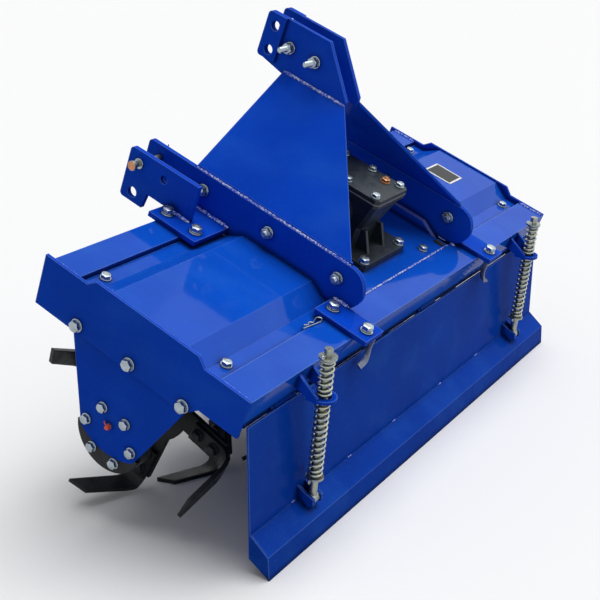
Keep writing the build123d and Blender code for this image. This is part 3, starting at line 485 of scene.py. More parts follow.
def dipped_black(name, colour):
    """Thin black paint on forged and flame-cut steel, rubbed on the edges, with painted highlights on its
    upper edges.
    """
    finish = Finish(name, colour, 0.38)
    tone = finish.drift(colour, 30, 4, 0.7, 1.5)
    scale_marks = finish.noise(140, 4, (1, 1, 0.35))
    finish.shade({
        # Rubbed wear and painted highlight: a paler tone on outer edges that face up
        "Base Color": finish.mix(finish.edges(radius=0.0014, gain=0.5), tone, STEEL_EDGE_WEAR_AND_HIGHLIGHT),
        "Roughness": finish.spread(finish.noise(45, 5), 0.26, 0.5),
        "Normal": finish.bump(scale_marks, strength=0.2, distance=0.0008, edge=0.004),
        "Specular IOR Level": 0.18,
    })
    return finish.material


def plated(name, colour, second, rough):
    """Plating with its mottled tint."""
    finish = Finish(name, colour, rough, metallic=1.0)
    mottle = finish.spread(finish.noise(75, 4), 0, 1, start=0.36, end=0.64)
    finish.shade({
        "Base Color": finish.mix(mottle, colour, second),
        "Roughness": finish.spread(finish.noise(210, 4), rough - 0.08, rough + 0.12),
        "Normal": finish.bump(finish.noise(650, 3), strength=0.12, distance=0.0003),
    })
    return finish.material


def weld_paint(name, colour):
    """Enamel lying thick over rough weld, with bare spatter showing through."""
    finish = Finish(name, colour, 0.3)
    bare = finish.spread(finish.noise(240, 5), 0, 0.9, start=0.46, end=0.6)
    finish.shade({
        "Base Color": finish.mix(bare, tint(colour, 1.15), BARE_SPATTER),
        "Roughness": finish.spread(finish.noise(300, 4), 0.18, 0.5),
        "Normal": finish.bump(finish.noise(520, 4), strength=0.4, distance=0.0007),
        "Coat Weight": 0.4,
    })
    return finish.material


def moulded(name, colour, rough):
    """Moulded plastic or rubber with a fine grain."""
    finish = Finish(name, colour, rough)
    finish.shade({
        "Base Color": finish.drift(colour, 120, 3, 0.85, 1.15),
        "Roughness": finish.spread(finish.noise(340, 3), rough - 0.06, rough + 0.1),
        "Normal": finish.bump(finish.noise(800, 2), strength=0.1, distance=0.0003),
    })
    return finish.material


def finish_named(name):
    """One of the tiller's finishes, made once from the colours in the panel."""
    if name in bpy.data.materials:
        return bpy.data.materials[name]
    colours = bpy.context.scene.tiller_colours
    recipes = {
        "blue_enamel": (gloss_paint, colours.blue, 0.04),
        # Painted light: the hood's top, beams and deck get the lighter copy of the blue enamel
        "hood_enamel": (gloss_paint, colours.hood, 0.34),
        "rib_enamel": (gloss_paint, colours.blue, 0.34, 0.7),
        # Painted shade: the tailboard and hinge rod get the darker copy of the blue enamel
        "board_enamel": (gloss_paint, colours.board, 0.05),
        "blue_weld": (weld_paint, colours.blue),
        "gearbox_black": (cast_black, colours.black),
        "tine_black": (dipped_black, colours.black),
        "bolt_black": (dipped_black, tint(colours.black, 2.2)),
        "bright_zinc": (plated, colours.zinc, tint(colours.zinc, 0.78), 0.3),
        "rod_zinc": (plated, colours.yellow_zinc, tint(colours.zinc, 0.62), 0.34),
        "spring_zinc": (plated, tint(colours.yellow_zinc, 1.25), tint(colours.zinc, 0.75), 0.34),
        "copper_tone": (plated, colours.copper, tint(colours.copper, 0.7), 0.34),
        "strap_grey": (plated, STRAP_GREY, STRAP_SHADE, 0.4),
        "bare_steel": (plated, tint(colours.zinc, 0.6), tint(colours.zinc, 0.42), 0.36),
        "cap_orange": (moulded, colours.cap, 0.35),
        "plate_black": (moulded, tint(colours.black, 0.6), 0.6),
        "plate_white": (moulded, PLATE_WHITE, 0.35),
        "gasket_grey": (moulded, GASKET_GREY, 0.6),
        "grommet_rubber": (moulded, RUBBER_BLACK, 0.7),
    }
    maker, *values = recipes[name]
    return maker(name, *values)


# Finishes of the frame's solids, by the start of their names; the others are blue enamel
NODE_FINISHES = (
    ("hood_cover", "hood_enamel"),
    ("hood_rib", "rib_enamel"),
    ("front_beam", "hood_enamel"),
    ("rear_beam", "hood_enamel"),
    ("deck_plate", "hood_enamel"),
    ("bearing_housing", "tine_black"),
    ("rotor_shaft", "tine_black"),
    ("tine_flange", "tine_black"),
    ("gearbox", "gearbox_black"),
    ("gear_case", "gearbox_black"),
    ("pto_shaft", "bare_steel"),
    ("hinge_rod", "board_enamel"),
    ("lug_spacers", "bright_zinc"),
    ("hitch_pin", "rod_zinc"),
    ("spring_rod", "rod_zinc"),
    ("tailboard", "board_enamel"),
)


# Properties
def colour_setting(name, description, default):
    """Property that holds a colour."""
    return FloatVectorProperty(
        name=name, description=description, default=default, subtype="COLOR", min=0, max=1
    )


def length_setting(name, description, default):
    """Property that holds a length in metres."""
    return FloatProperty(name=name, description=description, default=default, unit="LENGTH")


class TillerColours(bpy.types.PropertyGroup):
    """Colours of the tiller's finishes."""

    blue: colour_setting("Blue enamel", "Paint of the end plates, mast and hitch", (0.003, 0.062, 0.58))
    # Painted light: a lighter, greener copy of the blue enamel that stands in for the light on the hood's
    # top
    hood: colour_setting("Hood enamel", "Lighter paint of the hood's top", (0.004, 0.08, 0.56))
    # Painted shade: a darker copy of the blue enamel that stands in for the shade on the tailboard, which
    # faces down and back
    board: colour_setting("Tailboard enamel", "Deeper paint of the tailboard", (0.003, 0.05, 0.4))
    black: colour_setting("Black", "Paint of the gearbox, bearings and rotor", (0.012, 0.015, 0.018))
    zinc: colour_setting("Bright zinc", "Plating of bolts and washers", (0.39, 0.45, 0.49))
    yellow_zinc: colour_setting(
        "Yellow zinc", "Plating of the hitch pins, spring rods and springs", (0.37, 0.37, 0.26)
    )
    copper: colour_setting(
        "Copper tone", "Plating of the hitch pins' faces and the oil plug", (0.55, 0.27, 0.14)
    )
    cap: colour_setting("Grease cap", "Caps of the bearings' grease nipples", (0.8, 0.09, 0.03))


class TillerFasteners(bpy.types.PropertyGroup):
    """Sizes of the tiller's bolts."""

    large_flats: length_setting("Large bolt", "Width across the flats of the frame's bolts", 0.019)
    small_flats: length_setting("Small bolt", "Width across the flats of the bearing and cover bolts", 0.016)
    washer_thick: length_setting("Washer", "Thickness of the flat washers", 0.0024)
    ring_radius: length_setting("Bearing ring", "Radius of the circle of bearing bolts", 0.053)
    ring_count: IntProperty(
        name="Bearing bolts", description="Bolts on each bearing's circle", default=6, min=3
    )


class TillerDetails(bpy.types.PropertyGroup):
    """Sizes of the tiller's springs, welds and plate."""

    spring_wire: length_setting("Spring wire", "Diameter of the springs' wire", 0.0046)
    lower_turns: IntProperty(
        name="Lower turns", description="Turns of each lower spring", default=14, min=3
    )
    upper_turns: IntProperty(
        name="Upper turns", description="Turns of each upper spring", default=7, min=3
    )
    weld_radius: length_setting("Weld bead", "Half the width of a weld bead", 0.0032)
    plate_width: length_setting("Plate width", "Width of the blank plate on the right cover", 0.066)
    plate_length: length_setting("Plate length", "Length of the blank plate on the right cover", 0.073)


class TillerStage(bpy.types.PropertyGroup):
    """Floor, lamps and camera."""

    floor_size: length_setting("Floor", "Width of the floor", 40.0)
    floor_colour: colour_setting("Floor colour", "Colour of the floor", (0.93, 0.93, 0.93))
    bounce_colour: colour_setting(
        "Bounce colour", "Colour of the light that the floor throws back", (0.5, 0.5, 0.5)
    )
    sky_strength: FloatProperty(
        name="Sky", description="Strength of the even light from all round", default=0.3, min=0
    )
    key_strength: FloatProperty(
        name="Key sun", description="Strength of the main soft sun", default=2.1, min=0
    )
    lens: FloatProperty(
        name="Lens", description="Focal length of the camera in millimetres", default=65.93, min=10, max=300
    )


# Pieces
def piece(name, bm, finish, body, placed=PARKED, sharp=radians(38)):
    """Object from a finished mesh, set down with the machine and riding on its body."""
    bm.transform(placed)
    bmesh.ops.recalc_face_normals(bm, faces=bm.faces)
    mesh = bpy.data.meshes.new(name)
    bm.to_mesh(mesh)
    bm.free()
    mesh.shade_smooth()
    mesh.set_sharp_from_angle(angle=sharp)
    mesh.materials.append(finish_named(finish))
    made = bpy.data.objects.new(name, mesh)
    bpy.context.scene.collection.objects.link(made)
    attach(made, body)
    return made


def zinc_trim(name, bm):
    """Bright plated fasteners and trim of the frame."""
    piece(name, bm, "bright_zinc", "frame")


def bolt(bm, point, normal, flats, spring=False, stub=0.0, spin=0.0):
    """Hexagon head or nut on its washer, with a spring washer or a threaded end where it has one."""
    low = bpy.context.scene.tiller_fasteners.washer_thick
    place = facing(point, normal, spin)
    washer(bm, flats * WASHER_RADIUS, 0, low, place)
    if spring:
        split_washer(bm, flats * SPLIT_RADIUS, low, SPLIT_THICK, place)
        low += SPLIT_SEAT
    top = low + flats * HEAD_HEIGHT
    hexagon(bm, flats, low, top, place)
    if stub:
        threaded_end(bm, flats * STUB_RADIUS, top - STUB_SINK, stub, place)
    else:
        foot, rim = (flats * share for share in FACE_RADII)
        lathe(bm, [(foot, top), (rim, top + FACE_HEIGHT), (0, top + FACE_HEIGHT)], place)


# Operators
class TILLER_OT_finish_frame(bpy.types.Operator):
    """Give every solid of the frame its finish"""

    bl_idname = "tiller.finish_frame"
    bl_label = "Finish frame"

    def execute(self, context):
        for node, solid in frame["nodes"].items():
            finishes = (finish for start, finish in NODE_FINISHES if node.startswith(start))
            solid.data.materials.clear()
            solid.data.materials.append(finish_named(next(finishes, "blue_enamel")))
        return {"FINISHED"}


class TILLER_OT_hood_bolts(bpy.types.Operator):
    """Bolts of the end plates, bearings, covers and deck"""

    bl_idname = "tiller.hood_bolts"
    bl_label = "Hood bolts"

    end_places = ((-0.097, -0.085), (-0.217, -0.085), (-0.337, -0.088))
    cover_places = ((0.545, -0.089), (0.545, -0.358))
    deck_place = (0.129, -0.359)

    def execute(self, context):
        sizes = context.scene.tiller_fasteners
        large = bmesh.new()
        small = bmesh.new()
        for side in SIDES.values():
            out = (side, 0, 0)
            for k, (y, z) in enumerate(self.end_places):
                bolt(large, (side * END_FACE, y, z), out, sizes.large_flats, spin=0.4 * k)
            for k in range(sizes.ring_count):
                a = tau * k / sizes.ring_count
                y = ROTOR_AXIS.y + sizes.ring_radius * cos(a)
                z = ROTOR_AXIS.z + sizes.ring_radius * sin(a)
                bolt(small, (side * BEARING_FACE, y, z), out, sizes.small_flats, spin=0.3 * k)
            for x, y in self.cover_places:
                bolt(small, (side * x, y, COVER_FLANGE_TOP), UP, sizes.small_flats, spin=side)
            x, y = self.deck_place
            bolt(small, (side * x, y, BEAM_TOP), UP, sizes.small_flats)
        zinc_trim("end_plate_bolts", large)
        zinc_trim("bearing_and_cover_bolts", small)
        return {"FINISHED"}


class TILLER_OT_mast_bolts(bpy.types.Operator):
    """Bolts of the bars, feet and top lugs"""

    bl_idname = "tiller.mast_bolts"
    bl_label = "Mast bolts"

    bar_places = ((-0.031, 0.047), (-0.190, 0.046), (-0.352, 0.045))
    bar_stub = 0.006
    foot_places = ((0.305, -0.016), (0.305, -0.086), (0.262, -0.379), (0.262, -0.454))
    lug_places = ((0.0, 0.299), (-0.062, 0.299))
    lug_stub = 0.024

    def execute(self, context):
        flats = context.scene.tiller_fasteners.large_flats
        bars = bmesh.new()
        feet = bmesh.new()
        lugs = bmesh.new()
        for side in SIDES.values():
            out = (side, 0, 0)
            for k, (y, z) in enumerate(self.bar_places):
                bolt(bars, (side * BAR_OUTER, y, z), out, flats, stub=self.bar_stub, spin=0.5 * k)
                bolt(bars, (side * BAR_INNER, y, z), (-side, 0, 0), flats, spin=0.3 * k)
            for k, (x, y) in enumerate(self.foot_places):
                bolt(feet, (side * x, y, FOOT_TOP), UP, flats, spring=True, spin=0.35 * k)
            nut = side == SIDES["left"]
            stub = self.lug_stub if nut else 0.0
            for k, (y, z) in enumerate(self.lug_places):
                bolt(lugs, (side * LUG_OUTER, y, z), out, flats, spring=nut, stub=stub, spin=0.6 * k)
        zinc_trim("bar_bolts", bars)
        zinc_trim("foot_bolts", feet)
        zinc_trim("lug_bolts", lugs)
        return {"FINISHED"}


class TILLER_OT_gearbox_trim(bpy.types.Operator):
    """Bolts, gasket, oil plug and boss caps of the gearbox"""

    bl_idname = "tiller.gearbox_trim"
    bl_label = "Gearbox trim"

    # Bolt sizes here are shares of the small bolt
    cover_x = 0.048
    cover_rows = (-0.289, -0.222, -0.155)
    cover_bolt = 0.92
    base_x = 0.070
    base_rows = (-0.325, -0.103)
    base_bolt = 1.15
    boss_centre = (-0.214, 0.066)
    boss_ring = 0.035
    boss_count = 6
    boss_bolt = 0.62
    boss_profile = (
        (0.0, 0.0), (0.026, 0.0), (0.025, 0.0028), (0.019, 0.0032), (0.017, 0.0016), (0.0, 0.0016),
    )
    plug_place = (0.033, -0.263)
    plug_flats = 0.016
    plug_washer = (0.0105, 0.0018)
    plug_height = 0.0075
    plug_profile = ((0.0055, 0.0075), (0.005, 0.0095), (0.002, 0.0098), (0, 0.009))
    gasket_half = (0.0607, 0.0917)
    gasket_corner = 0.008
    gasket_thick = 0.0022
    gasket_soft = 0.0003

    def bolts(self, flats):
        """Bolts of the cover, the base and the bosses on both sides."""
        bm = bmesh.new()
        for side in SIDES.values():
            for k, y in enumerate(self.cover_rows):
                bolt(bm, (side * self.cover_x, y, GEARBOX_TOP), UP, flats * self.cover_bolt, spin=0.4 * k)
            for k, y in enumerate(self.base_rows):
                bolt(bm, (side * self.base_x, y, GEARBOX_FOOT), UP, flats * self.base_bolt, spin=0.5 * k)
        for side in SIDES.values():
            for k in range(self.boss_count):
                a = tau * (k + 0.5) / self.boss_count
                y = self.boss_centre[0] + self.boss_ring * cos(a)
                z = self.boss_centre[1] + self.boss_ring * sin(a)
                bolt(bm, (side * SIDE_BOSS_FACE, y, z), (side, 0, 0), flats * self.boss_bolt)
        return bm

    def gasket(self):
        """Thin plate with cut corners in the seam under the cover."""
        bm = bmesh.new()
        x, y = self.gasket_half
        corner = self.gasket_corner
        half = ((x - corner, y), (x, y - corner), (x, corner - y), (x - corner, -y))
        outline = half + tuple((-a, b) for a, b in reversed(half))
        place = Matrix.Translation((0, ROTOR_AXIS.y, GEARBOX_SEAM - self.gasket_thick / 2))
        slab(bm, outline, self.gasket_thick, place, self.gasket_soft)
        return bm

    def execute(self, context):
        bolts = self.bolts(context.scene.tiller_fasteners.small_flats)
        zinc_trim("gearbox_bolts", bolts)

        plug = bmesh.new()
        place = facing((*self.plug_place, GEARBOX_TOP), UP)
        radius, thick = self.plug_washer
        washer(plug, radius, 0, thick, place)
        hexagon(plug, self.plug_flats, thick, self.plug_height, place)
        lathe(plug, self.plug_profile, place)
        piece("oil_plug", plug, "copper_tone", "frame")

        bosses = bmesh.new()
        for side in SIDES.values():
            place = facing((side * SIDE_BOSS_FACE, *self.boss_centre), (side, 0, 0))
            lathe(bosses, self.boss_profile, place, 40)
        piece("gearbox_boss_caps", bosses, "gearbox_black", "frame")
        piece("gearbox_gasket", self.gasket(), "gasket_grey", "frame")
        return {"FINISHED"}


class TILLER_OT_grease_caps(bpy.types.Operator):
    """Grease nipples with their caps on the bearing plates"""

    bl_idname = "tiller.grease_caps"
    bl_label = "Grease caps"

    place = (-0.212, -0.229)
    nipple_flats = 0.009
    nipple_height = 0.004
    cap_profile = (
        (0.0, 0.0038), (0.0046, 0.0038), (0.005, 0.005), (0.005, 0.009), (0.0042, 0.0112), (0.0, 0.0118),
    )
    tail_path = ((0.0, 0.0045, 0.0055), (0.0015, 0.009, 0.0052), (0.004, 0.0118, 0.004))
    tail_step = 0.001
    tail_radius = 0.0013

    def execute(self, context):
        caps = bmesh.new()
        nipples = bmesh.new()
        for side in SIDES.values():
            seat = facing((side * BEARING_FACE, *self.place), (side, 0, 0))
            hexagon(nipples, self.nipple_flats, 0, self.nipple_height, seat)
            lathe(caps, self.cap_profile, seat, 20)
            tail = [seat @ Vector(point) for point in self.tail_path]
            tube(caps, smooth_path(tail, self.tail_step), self.tail_radius, 8)
        zinc_trim("grease_nipples", nipples)
        piece("grease_caps", caps, "cap_orange", "frame")
        return {"FINISHED"}


class TILLER_OT_rotor_bolts(bpy.types.Operator):
    """Two bolts and nuts through each tine's shank, and the welds round the rotor tube"""

    bl_idname = "tiller.rotor_bolts"
    bl_label = "Rotor bolts"

    flanges = 3
    tines = 4
    tube_radius = 0.032
    flange_half = 0.004
    tine_thick = 0.008
    lead = 0.025
    bolt_radii = (0.099, 0.136)
    bolt_stub = 0.005
    weld_radius = 0.0044
    weld_steps = 72
    weld_low = 0.84

    def ring_weld(self, bm, x, seed):
        """Bead round the rotor tube on one face of a flange."""
        chance = random.Random(seed)
        turns = [tau * k / self.weld_steps for k in range(self.weld_steps + 1)]
        spokes = [Vector((x, self.tube_radius * cos(a), self.tube_radius * sin(a))) for a in turns]
        radii = [self.weld_radius * chance.uniform(self.weld_low, 1.0) for _ in turns]
        tube(bm, [ROTOR_AXIS + spoke for spoke in spokes], self.weld_radius, 7, radii)

    def execute(self, context):
        flats = context.scene.tiller_fasteners.large_flats
        bolts = bmesh.new()
        seams = bmesh.new()
        for word, side in SIDES.items():
            for place in range(self.flanges):
                outermost = place == self.flanges - 1
                low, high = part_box(f"tine_flange_{word}_{place + 1}")
                x = (low.x + high.x) / 2
                if outermost:
                    x = (low.x if side > 0 else high.x) + side * self.flange_half
                first = -pi / 2 - PITCH + (place - self.flanges // 2) * FLANGE_STAGGER
                for turn in range(self.tines):
                    hand = side if outermost or turn % 2 == 0 else -side
                    spoke = Matrix.Rotation(first + turn * tau / self.tines - pi / 2, 4, "X")
                    for radius in self.bolt_radii:
                        point = ROTOR_AXIS + spoke @ Vector((0, self.lead, radius))
                        outer = (x + hand * (self.flange_half + self.tine_thick), point.y, point.z)
                        inner = (x - hand * self.flange_half, point.y, point.z)
                        bolt(bolts, outer, (hand, 0, 0), flats, spin=turn)
                        bolt(bolts, inner, (-hand, 0, 0), flats, stub=self.bolt_stub, spin=turn)
                for face in (-1, 1):
                    self.ring_weld(seams, x + face * self.flange_half, 10 * place + side + face)
        piece("tine_bolts", bolts, "bolt_black", "rotor")
        piece("rotor_welds", seams, "tine_black", "rotor")
        return {"FINISHED"}


class TILLER_OT_weld_beads(bpy.types.Operator):
    """Weld beads along the seams of the mast, bars, beams, deck, hitch and tailboard"""

    bl_idname = "tiller.weld_beads"
    bl_label = "Weld beads"

    # Bead sizes are shares of the weld radius
    foot_size = 1.5
    seam_size = 1.1
    deck_size = 0.7
    tack_size = 0.6
    tack_length = 0.012
    tacks = (-0.47, -0.28, -0.11, 0.09, 0.27, 0.46)
    bar_end_outer = -0.395
    bar_end_inner = -0.392
    clevis_front = FRONT_FOOT[0] - 0.003

    # Each run has its distance from the middle, the two ends of its length and its height
    runs = (
        (MAST_OUTER, *MAST_FOOT, BAR_TOP),
        (LUG_OUTER, *MAST_SEAM, MAST_SEAM_HEIGHT),
        (BAR_OUTER, *FRONT_FOOT, FOOT_TOP),
        (BAR_OUTER, REAR_FOOT[0], bar_end_outer, FOOT_TOP),
        (BAR_INNER, *FRONT_BEAM, BEAM_TOP),
        (BAR_INNER, REAR_BEAM[0], bar_end_inner, BEAM_TOP),
        (CLEVIS_OUTER, clevis_front, CLEVIS_REAR, FOOT_TOP),
        (CLEVIS_INNER, clevis_front, CLEVIS_REAR, FOOT_TOP),
        (BEAM_INNER, *FRONT_BEAM, BEAM_TOP),
        (BEAM_INNER, *REAR_BEAM, BEAM_TOP),
    )

    def execute(self, context):
        radius = context.scene.tiller_details.weld_radius
        seams = bmesh.new()
        for side in SIDES.values():
            for k, (x, start, end, z) in enumerate(self.runs):
                size = radius * (self.foot_size if z == FOOT_TOP else self.seam_size)
                bead(seams, (side * x, start, z), (side * x, end, z), size, 10 * k + side)
        for k, y in enumerate((FRONT_BEAM[1], REAR_BEAM[0])):
            size = radius * self.deck_size
            bead(seams, (-DECK_EDGE, y, BEAM_TOP), (DECK_EDGE, y, BEAM_TOP), size, 200 + k)
        piece("frame_welds", seams, "blue_weld", "frame")

        tacks = bmesh.new()
        for k, x in enumerate(self.tacks):
            size = radius * self.tack_size
            bead(tacks, (x, *BOARD_FOLD), (x + self.tack_length, *BOARD_FOLD), size, 300 + k)
        piece("board_tacks", tacks, "blue_weld", "tailboard")
        return {"FINISHED"}


class TILLER_OT_springs(bpy.types.Operator):
    """Coil springs in place of the plain sleeves, with the cotter pins of their rods"""

    bl_idname = "tiller.springs"
    bl_label = "Springs"

    coil_steps = 26
    coil_sharp = radians(60)
    seat_play = 0.0015
    cotter_above = 0.0065
    cotter_below = 0.0062
    cotter_half = 0.013
    cotter_bend = 0.004
    cotter_wire = 0.0013
    cotter_step = 0.002
    eye_radius = 0.003
    eye_wire = 0.0011
    eye_steps = 16

    def coil(self, place, word, origin, way, turns):
        """Closed-end coil that fills a sleeve's length on the rod, and its ends' heights along the rod."""
        node = f"{place}_spring_{word}"
        wire = bpy.context.scene.tiller_details.spring_wire
        heights = [(vertex.co - origin).dot(way) for vertex in frame["nodes"][node].data.vertices]
        low = min(heights)
        high = max(heights)
        low_x, high_x = (corner.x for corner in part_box(node))
        mean = (high_x - low_x) / 2 - wire / 2
        upright = facing(origin, way)
        free = (high - low - 3 * wire) / (turns - 2)
        points = []
        height = low + wire / 2
        for i in range(turns * self.coil_steps + 1):
            a = tau * i / self.coil_steps
            points.append(upright @ Vector((mean * cos(a), mean * sin(a), height)))
            dead = i < self.coil_steps or i >= (turns - 1) * self.coil_steps
            height += (wire if dead else free) / self.coil_steps
        bm = bmesh.new()
        tube(bm, points, wire / 2, 9)
        name = f"{place}_coil_{word}"
        made = piece(name, bm, "spring_zinc", "tailboard", LEVEL, self.coil_sharp)
        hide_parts(node)
        return made, low, high

    def cotter(self, bm, centre, way):
        """Cotter pin across the rod, with an eye at one end and a bent tail at the other."""
        pin = [centre + Vector((self.cotter_half * k, 0, 0)) for k in (-1, -0.5, 0, 0.5, 1)]
        tail = pin[-1] + Vector((self.cotter_bend, 0, 0)) + way.orthogonal() * self.cotter_bend
        tube(bm, smooth_path(pin + [tail], self.cotter_step), self.cotter_wire, 8)
        eye = pin[0] - Vector((self.eye_radius, 0, 0))
        loop = []
        for k in range(self.eye_steps + 1):
            a = tau * k / self.eye_steps
            loop.append(eye + Vector((self.eye_radius * cos(a), 0, 0)) + way * self.eye_radius * sin(a))
        tube(bm, loop, self.eye_wire, 8)

    def execute(self, context):
        details = context.scene.tiller_details
        cotters = bmesh.new()
        for word in SIDES:
            near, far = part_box(f"lower_spring_{word}")
            origin = (near + far) / 2
            above = sum(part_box(f"upper_spring_{word}"), Vector()) / 2
            way = (above - origin).normalized()
            lower, low, high = self.coil("lower", word, origin, way, details.lower_turns)
            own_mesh(lower)
            top = self.coil("upper", word, origin, way, details.upper_turns)[2]
            for height in (top + self.cotter_above, low - self.cotter_below):
                self.cotter(cotters, origin + way * height, way)
        piece("rod_cotters", cotters, "bright_zinc", "tailboard", LEVEL)
        return {"FINISHED"}


class TILLER_OT_hinge_straps(bpy.types.Operator):
    """Bent straps under the rear feet and the spare clip that lies on the rear beam"""

    bl_idname = "tiller.hinge_straps"
    bl_label = "Hinge straps"

    strap_path = (
        (0.244, -0.464, -0.006), (0.244, -0.464, -0.030), (0.250, -0.470, -0.052), (0.272, -0.471, -0.060),
    )
    strap_step = 0.003
    strap_width = 0.012
    strap_thick = 0.004
    strap_across = (0, 1, 0.4)
    clip_start = (-0.352, -0.378)
    clip_turn = radians(-9)
    clip_lift = 0.0013

    def execute(self, context):
        straps = bmesh.new()
        for side in SIDES.values():
            corners = [Vector((side * x, y, z)) for x, y, z in self.strap_path]
            path = smooth_path(corners, self.strap_step)
            strap(straps, path, self.strap_width, self.strap_thick, self.strap_across)
        piece("hinge_straps", straps, "strap_grey", "frame")

        clip = bmesh.new()
        place = Matrix.Translation((*self.clip_start, BEAM_TOP + self.clip_lift))
        spring_clip(clip, place @ Matrix.Rotation(self.clip_turn, 4, "Z"))
        zinc_trim("spare_clip", clip)
        return {"FINISHED"}


class TILLER_OT_hitch_trim(bpy.types.Operator):
    """Collars, head faces and clips of the hitch pins"""

    bl_idname = "tiller.hitch_trim"
    bl_label = "Hitch trim"

    face_profile = ((0.0088, 0.0), (0.0086, 0.0006), (0.0068, 0.0008), (0.0062, 0.0003), (0.0, 0.0004))
    collar_radius = PIN_RADIUS * 1.75
    collar_thick = 0.0025
    clip_grip = 0.024
    clip_inset = 0.006

    def execute(self, context):
        faces = bmesh.new()
        collars = bmesh.new()
        clips = bmesh.new()
        y, z = HITCH_PIN
        for side in SIDES.values():
            lathe(faces, self.face_profile, facing((side * PIN_HEAD_FACE, y, z), (side, 0, 0)), 32)
            for x, out in ((CLEVIS_OUTER, side), (BAR_INNER, -side)):
                place = facing((side * x, y, z), (out, 0, 0))
                washer(collars, self.collar_radius, 0, self.collar_thick, place)
            start = Matrix.Translation((side * (PIN_TAIL + self.clip_inset), y, z + self.clip_grip))
            spring_clip(clips, start @ Matrix.Rotation(pi / 2, 4, "Y"))
        piece("pin_faces", faces, "copper_tone", "frame")
        zinc_trim("pin_collars", collars)
        zinc_trim("pin_clips", clips)
        return {"FINISHED"}


class TILLER_OT_deck_grommets(bpy.types.Operator):
    """Rubber grommets in the rear corners of the deck"""

    bl_idname = "tiller.deck_grommets"
    bl_label = "Deck grommets"

    centre = (0.192, -0.366)
    half_length = 0.006
    end_radius = 0.006
    end_steps = 8
    height = 0.0035
    soft = 0.0012

    def execute(self, context):
        outline = []
        for end, first in ((1, 0), (-1, pi)):
            for k in range(self.end_steps + 1):
                a = pi * k / self.end_steps + first
                y = end * self.half_length + self.end_radius * sin(a)
                outline.append((self.end_radius * cos(a), y))
        grommets = bmesh.new()
        x, y = self.centre
        for side in SIDES.values():
            place = Matrix.Translation((side * x, y, BEAM_TOP))
            slab(grommets, outline, self.height, place, self.soft)
        piece("deck_grommets", grommets, "grommet_rubber", "frame")
        return {"FINISHED"}


class TILLER_OT_data_plate(bpy.types.Operator):
    """Blank plate riveted to the right cover"""

    bl_idname = "tiller.data_plate"
    bl_label = "Data plate"

    centre = (0.478, -0.216)
    thick = 0.001
    soft = 0.0002
    border = 0.005
    field_sink = 0.0002
    field_thick = 0.0005
    field_soft = 0.0001
    rivet_profile = ((0.0019, 0), (0.0016, 0.0007), (0, 0.001))

    def rectangle(self, width, length):
        """Corners of a rectangle about the middle of the plate."""
        x, y = width / 2, length / 2
        return ((-x, -y), (x, -y), (x, y), (-x, y))

    def execute(self, context):
        details = context.scene.tiller_details
        place = Matrix.Translation((*self.centre, COVER_TOP))
        edge = bmesh.new()
        outline = self.rectangle(details.plate_width, details.plate_length)
        slab(edge, outline, self.thick, place, self.soft)
        piece("plate_border", edge, "plate_white", "frame")

        field = bmesh.new()
        width = details.plate_width - 2 * self.border
        length = details.plate_length - 2 * self.border
        raised = place @ Matrix.Translation((0, 0, self.thick - self.field_sink))
        slab(field, self.rectangle(width, length), self.field_thick, raised, self.field_soft)
        piece("plate_field", field, "plate_black", "frame")

        rivets = bmesh.new()
        for x in (-1, 1):
            for y in (-1, 1):
                corner = (x * (width + self.border) / 2, y * (length + self.border) / 2, self.thick)
                lathe(rivets, self.rivet_profile, place @ Matrix.Translation(corner), 14)
        zinc_trim("plate_rivets", rivets)
        return {"FINISHED"}


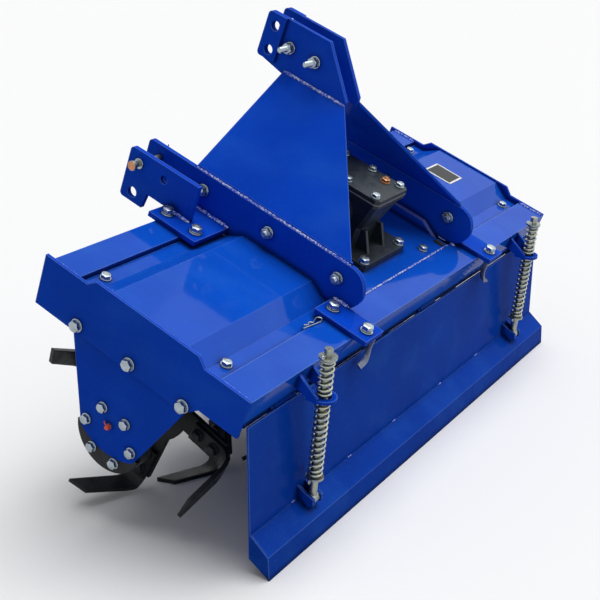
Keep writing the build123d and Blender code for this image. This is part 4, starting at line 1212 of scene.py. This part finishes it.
class TILLER_OT_stage(bpy.types.Operator):
    """Floor, lamps, sky and the photograph's camera"""

    bl_idname = "tiller.stage"
    bl_label = "Stage"

    # Each sun has the direction it shines from, its angle and its share of the key sun's strength
    lamps = (
        ("key_sun", (0.2, -0.12, 1.0), radians(50), 1.0),
        ("fill_sun", (0.9, -0.5, 0.7), radians(70), 0.25),
    )
    sky_colour = (0.97, 0.98, 1, 1)
    sensor_width = 36

    def seen(self, tree):
        """Factor that is 1 where the floor or sky is looked at, mirrored or seen through a piece."""
        path = tree.nodes.new("ShaderNodeLightPath")
        factor = path.outputs["Is Camera Ray"]
        for ray in ("Is Glossy Ray", "Is Transmission Ray"):
            inputs = {0: factor, 1: path.outputs[ray]}
            factor = add_node(tree, "ShaderNodeMath", inputs, operation="MAXIMUM").outputs["Value"]
        return factor

    def floor(self, stage):
        """Plain pale floor that throws back less light than it shows."""
        bm = bmesh.new()
        half = stage.floor_size / 2
        corners = ((-half, -half), (half, -half), (half, half), (-half, half))
        bm.faces.new([bm.verts.new((x, y, 0)) for x, y in corners])
        mesh = bpy.data.meshes.new("floor")
        bm.to_mesh(mesh)
        bm.free()
        finish = Finish("pale_floor", stage.floor_colour, 0.85)
        finish.shade({
            "Base Color": finish.mix(self.seen(finish.tree), stage.bounce_colour, stage.floor_colour),
            "Roughness": finish.spread(finish.noise(3, 3), 0.8, 0.92),
            "Specular IOR Level": 0.0,
        })
        mesh.materials.append(finish.material)
        floor = bpy.data.objects.new("floor", mesh)
        bpy.context.scene.collection.objects.link(floor)

    def sky(self, scene, strength):
        """Even light from all round that shows as white."""
        world = bpy.data.worlds.new("studio_sky")
        scene.world = world
        world.use_nodes = True
        tree = world.node_tree
        inputs = {"Value": self.seen(tree), "To Min": strength, "To Max": 1.0}
        level = add_node(tree, "ShaderNodeMapRange", inputs).outputs["Result"]
        feed(tree, tree.nodes["Background"], {"Color": self.sky_colour, "Strength": level})

    def lamp(self, scene, name, source, angle, strength):
        """Soft sun that shines from one direction."""
        light = bpy.data.lights.new(name, "SUN")
        light.angle = angle
        light.energy = strength
        made = bpy.data.objects.new(name, light)
        made.rotation_mode = "QUATERNION"
        made.rotation_quaternion = Vector(source).to_track_quat("Z", "Y")
        scene.collection.objects.link(made)

    def camera(self, scene, lens):
        """Camera at the photograph's place, set down with the machine."""
        back = Vector((
            sin(CAMERA_AZIMUTH) * cos(CAMERA_ELEVATION),
            -cos(CAMERA_AZIMUTH) * cos(CAMERA_ELEVATION),
            sin(CAMERA_ELEVATION),
        ))
        right = UP.cross(back).normalized()
        up = back.cross(right)
        across = right * cos(CAMERA_ROLL) + up * sin(CAMERA_ROLL)
        above = up * cos(CAMERA_ROLL) - right * sin(CAMERA_ROLL)
        turn = Matrix((across, above, back)).transposed().to_4x4()
        data = bpy.data.cameras.new("photo_camera")
        data.lens = lens
        data.sensor_width = self.sensor_width
        made = bpy.data.objects.new("photo_camera", data)
        made.matrix_world = PARKED @ Matrix.Translation(CAMERA_PLACE) @ turn
        scene.collection.objects.link(made)
        scene.camera = made

    def execute(self, context):
        scene = context.scene
        stage = scene.tiller_stage
        scene.view_settings.view_transform = "Standard"
        self.floor(stage)
        self.sky(scene, stage.sky_strength)
        for name, source, angle, share in self.lamps:
            self.lamp(scene, name, source, angle, stage.key_strength * share)
        self.camera(scene, stage.lens)
        return {"FINISHED"}


STEPS = (
    TILLER_OT_finish_frame,
    TILLER_OT_hood_bolts,
    TILLER_OT_mast_bolts,
    TILLER_OT_gearbox_trim,
    TILLER_OT_grease_caps,
    TILLER_OT_rotor_bolts,
    TILLER_OT_weld_beads,
    TILLER_OT_springs,
    TILLER_OT_hinge_straps,
    TILLER_OT_hitch_trim,
    TILLER_OT_deck_grommets,
    TILLER_OT_data_plate,
    TILLER_OT_stage,
)
GROUPS = {
    "tiller_colours": TillerColours,
    "tiller_fasteners": TillerFasteners,
    "tiller_details": TillerDetails,
    "tiller_stage": TillerStage,
}


class TILLER_PT_panel(bpy.types.Panel):
    """Steps and settings of the rotary tiller"""

    bl_idname = "TILLER_PT_panel"
    bl_label = "Rotary tiller"
    bl_space_type = "VIEW_3D"
    bl_region_type = "UI"
    bl_category = "Tiller"

    def draw(self, context):
        for name, group in GROUPS.items():
            box = self.layout.box()
            box.label(text=group.__doc__)
            for setting in group.__annotations__:
                box.prop(getattr(context.scene, name), setting)
        for step in STEPS:
            self.layout.operator(step.bl_idname)


def register():
    for group in GROUPS.values():
        bpy.utils.register_class(group)
    for name, group in GROUPS.items():
        setattr(bpy.types.Scene, name, PointerProperty(type=group))
    for step in STEPS:
        bpy.utils.register_class(step)
    bpy.utils.register_class(TILLER_PT_panel)


def unregister():
    bpy.utils.unregister_class(TILLER_PT_panel)
    for step in reversed(STEPS):
        bpy.utils.unregister_class(step)
    for name in GROUPS:
        delattr(bpy.types.Scene, name)
    for group in GROUPS.values():
        bpy.utils.unregister_class(group)


def main():
    register()
    for step in STEPS:
        family, action = step.bl_idname.split(".")
        getattr(getattr(bpy.ops, family), action)()


if __name__ == "__main__":
    main()
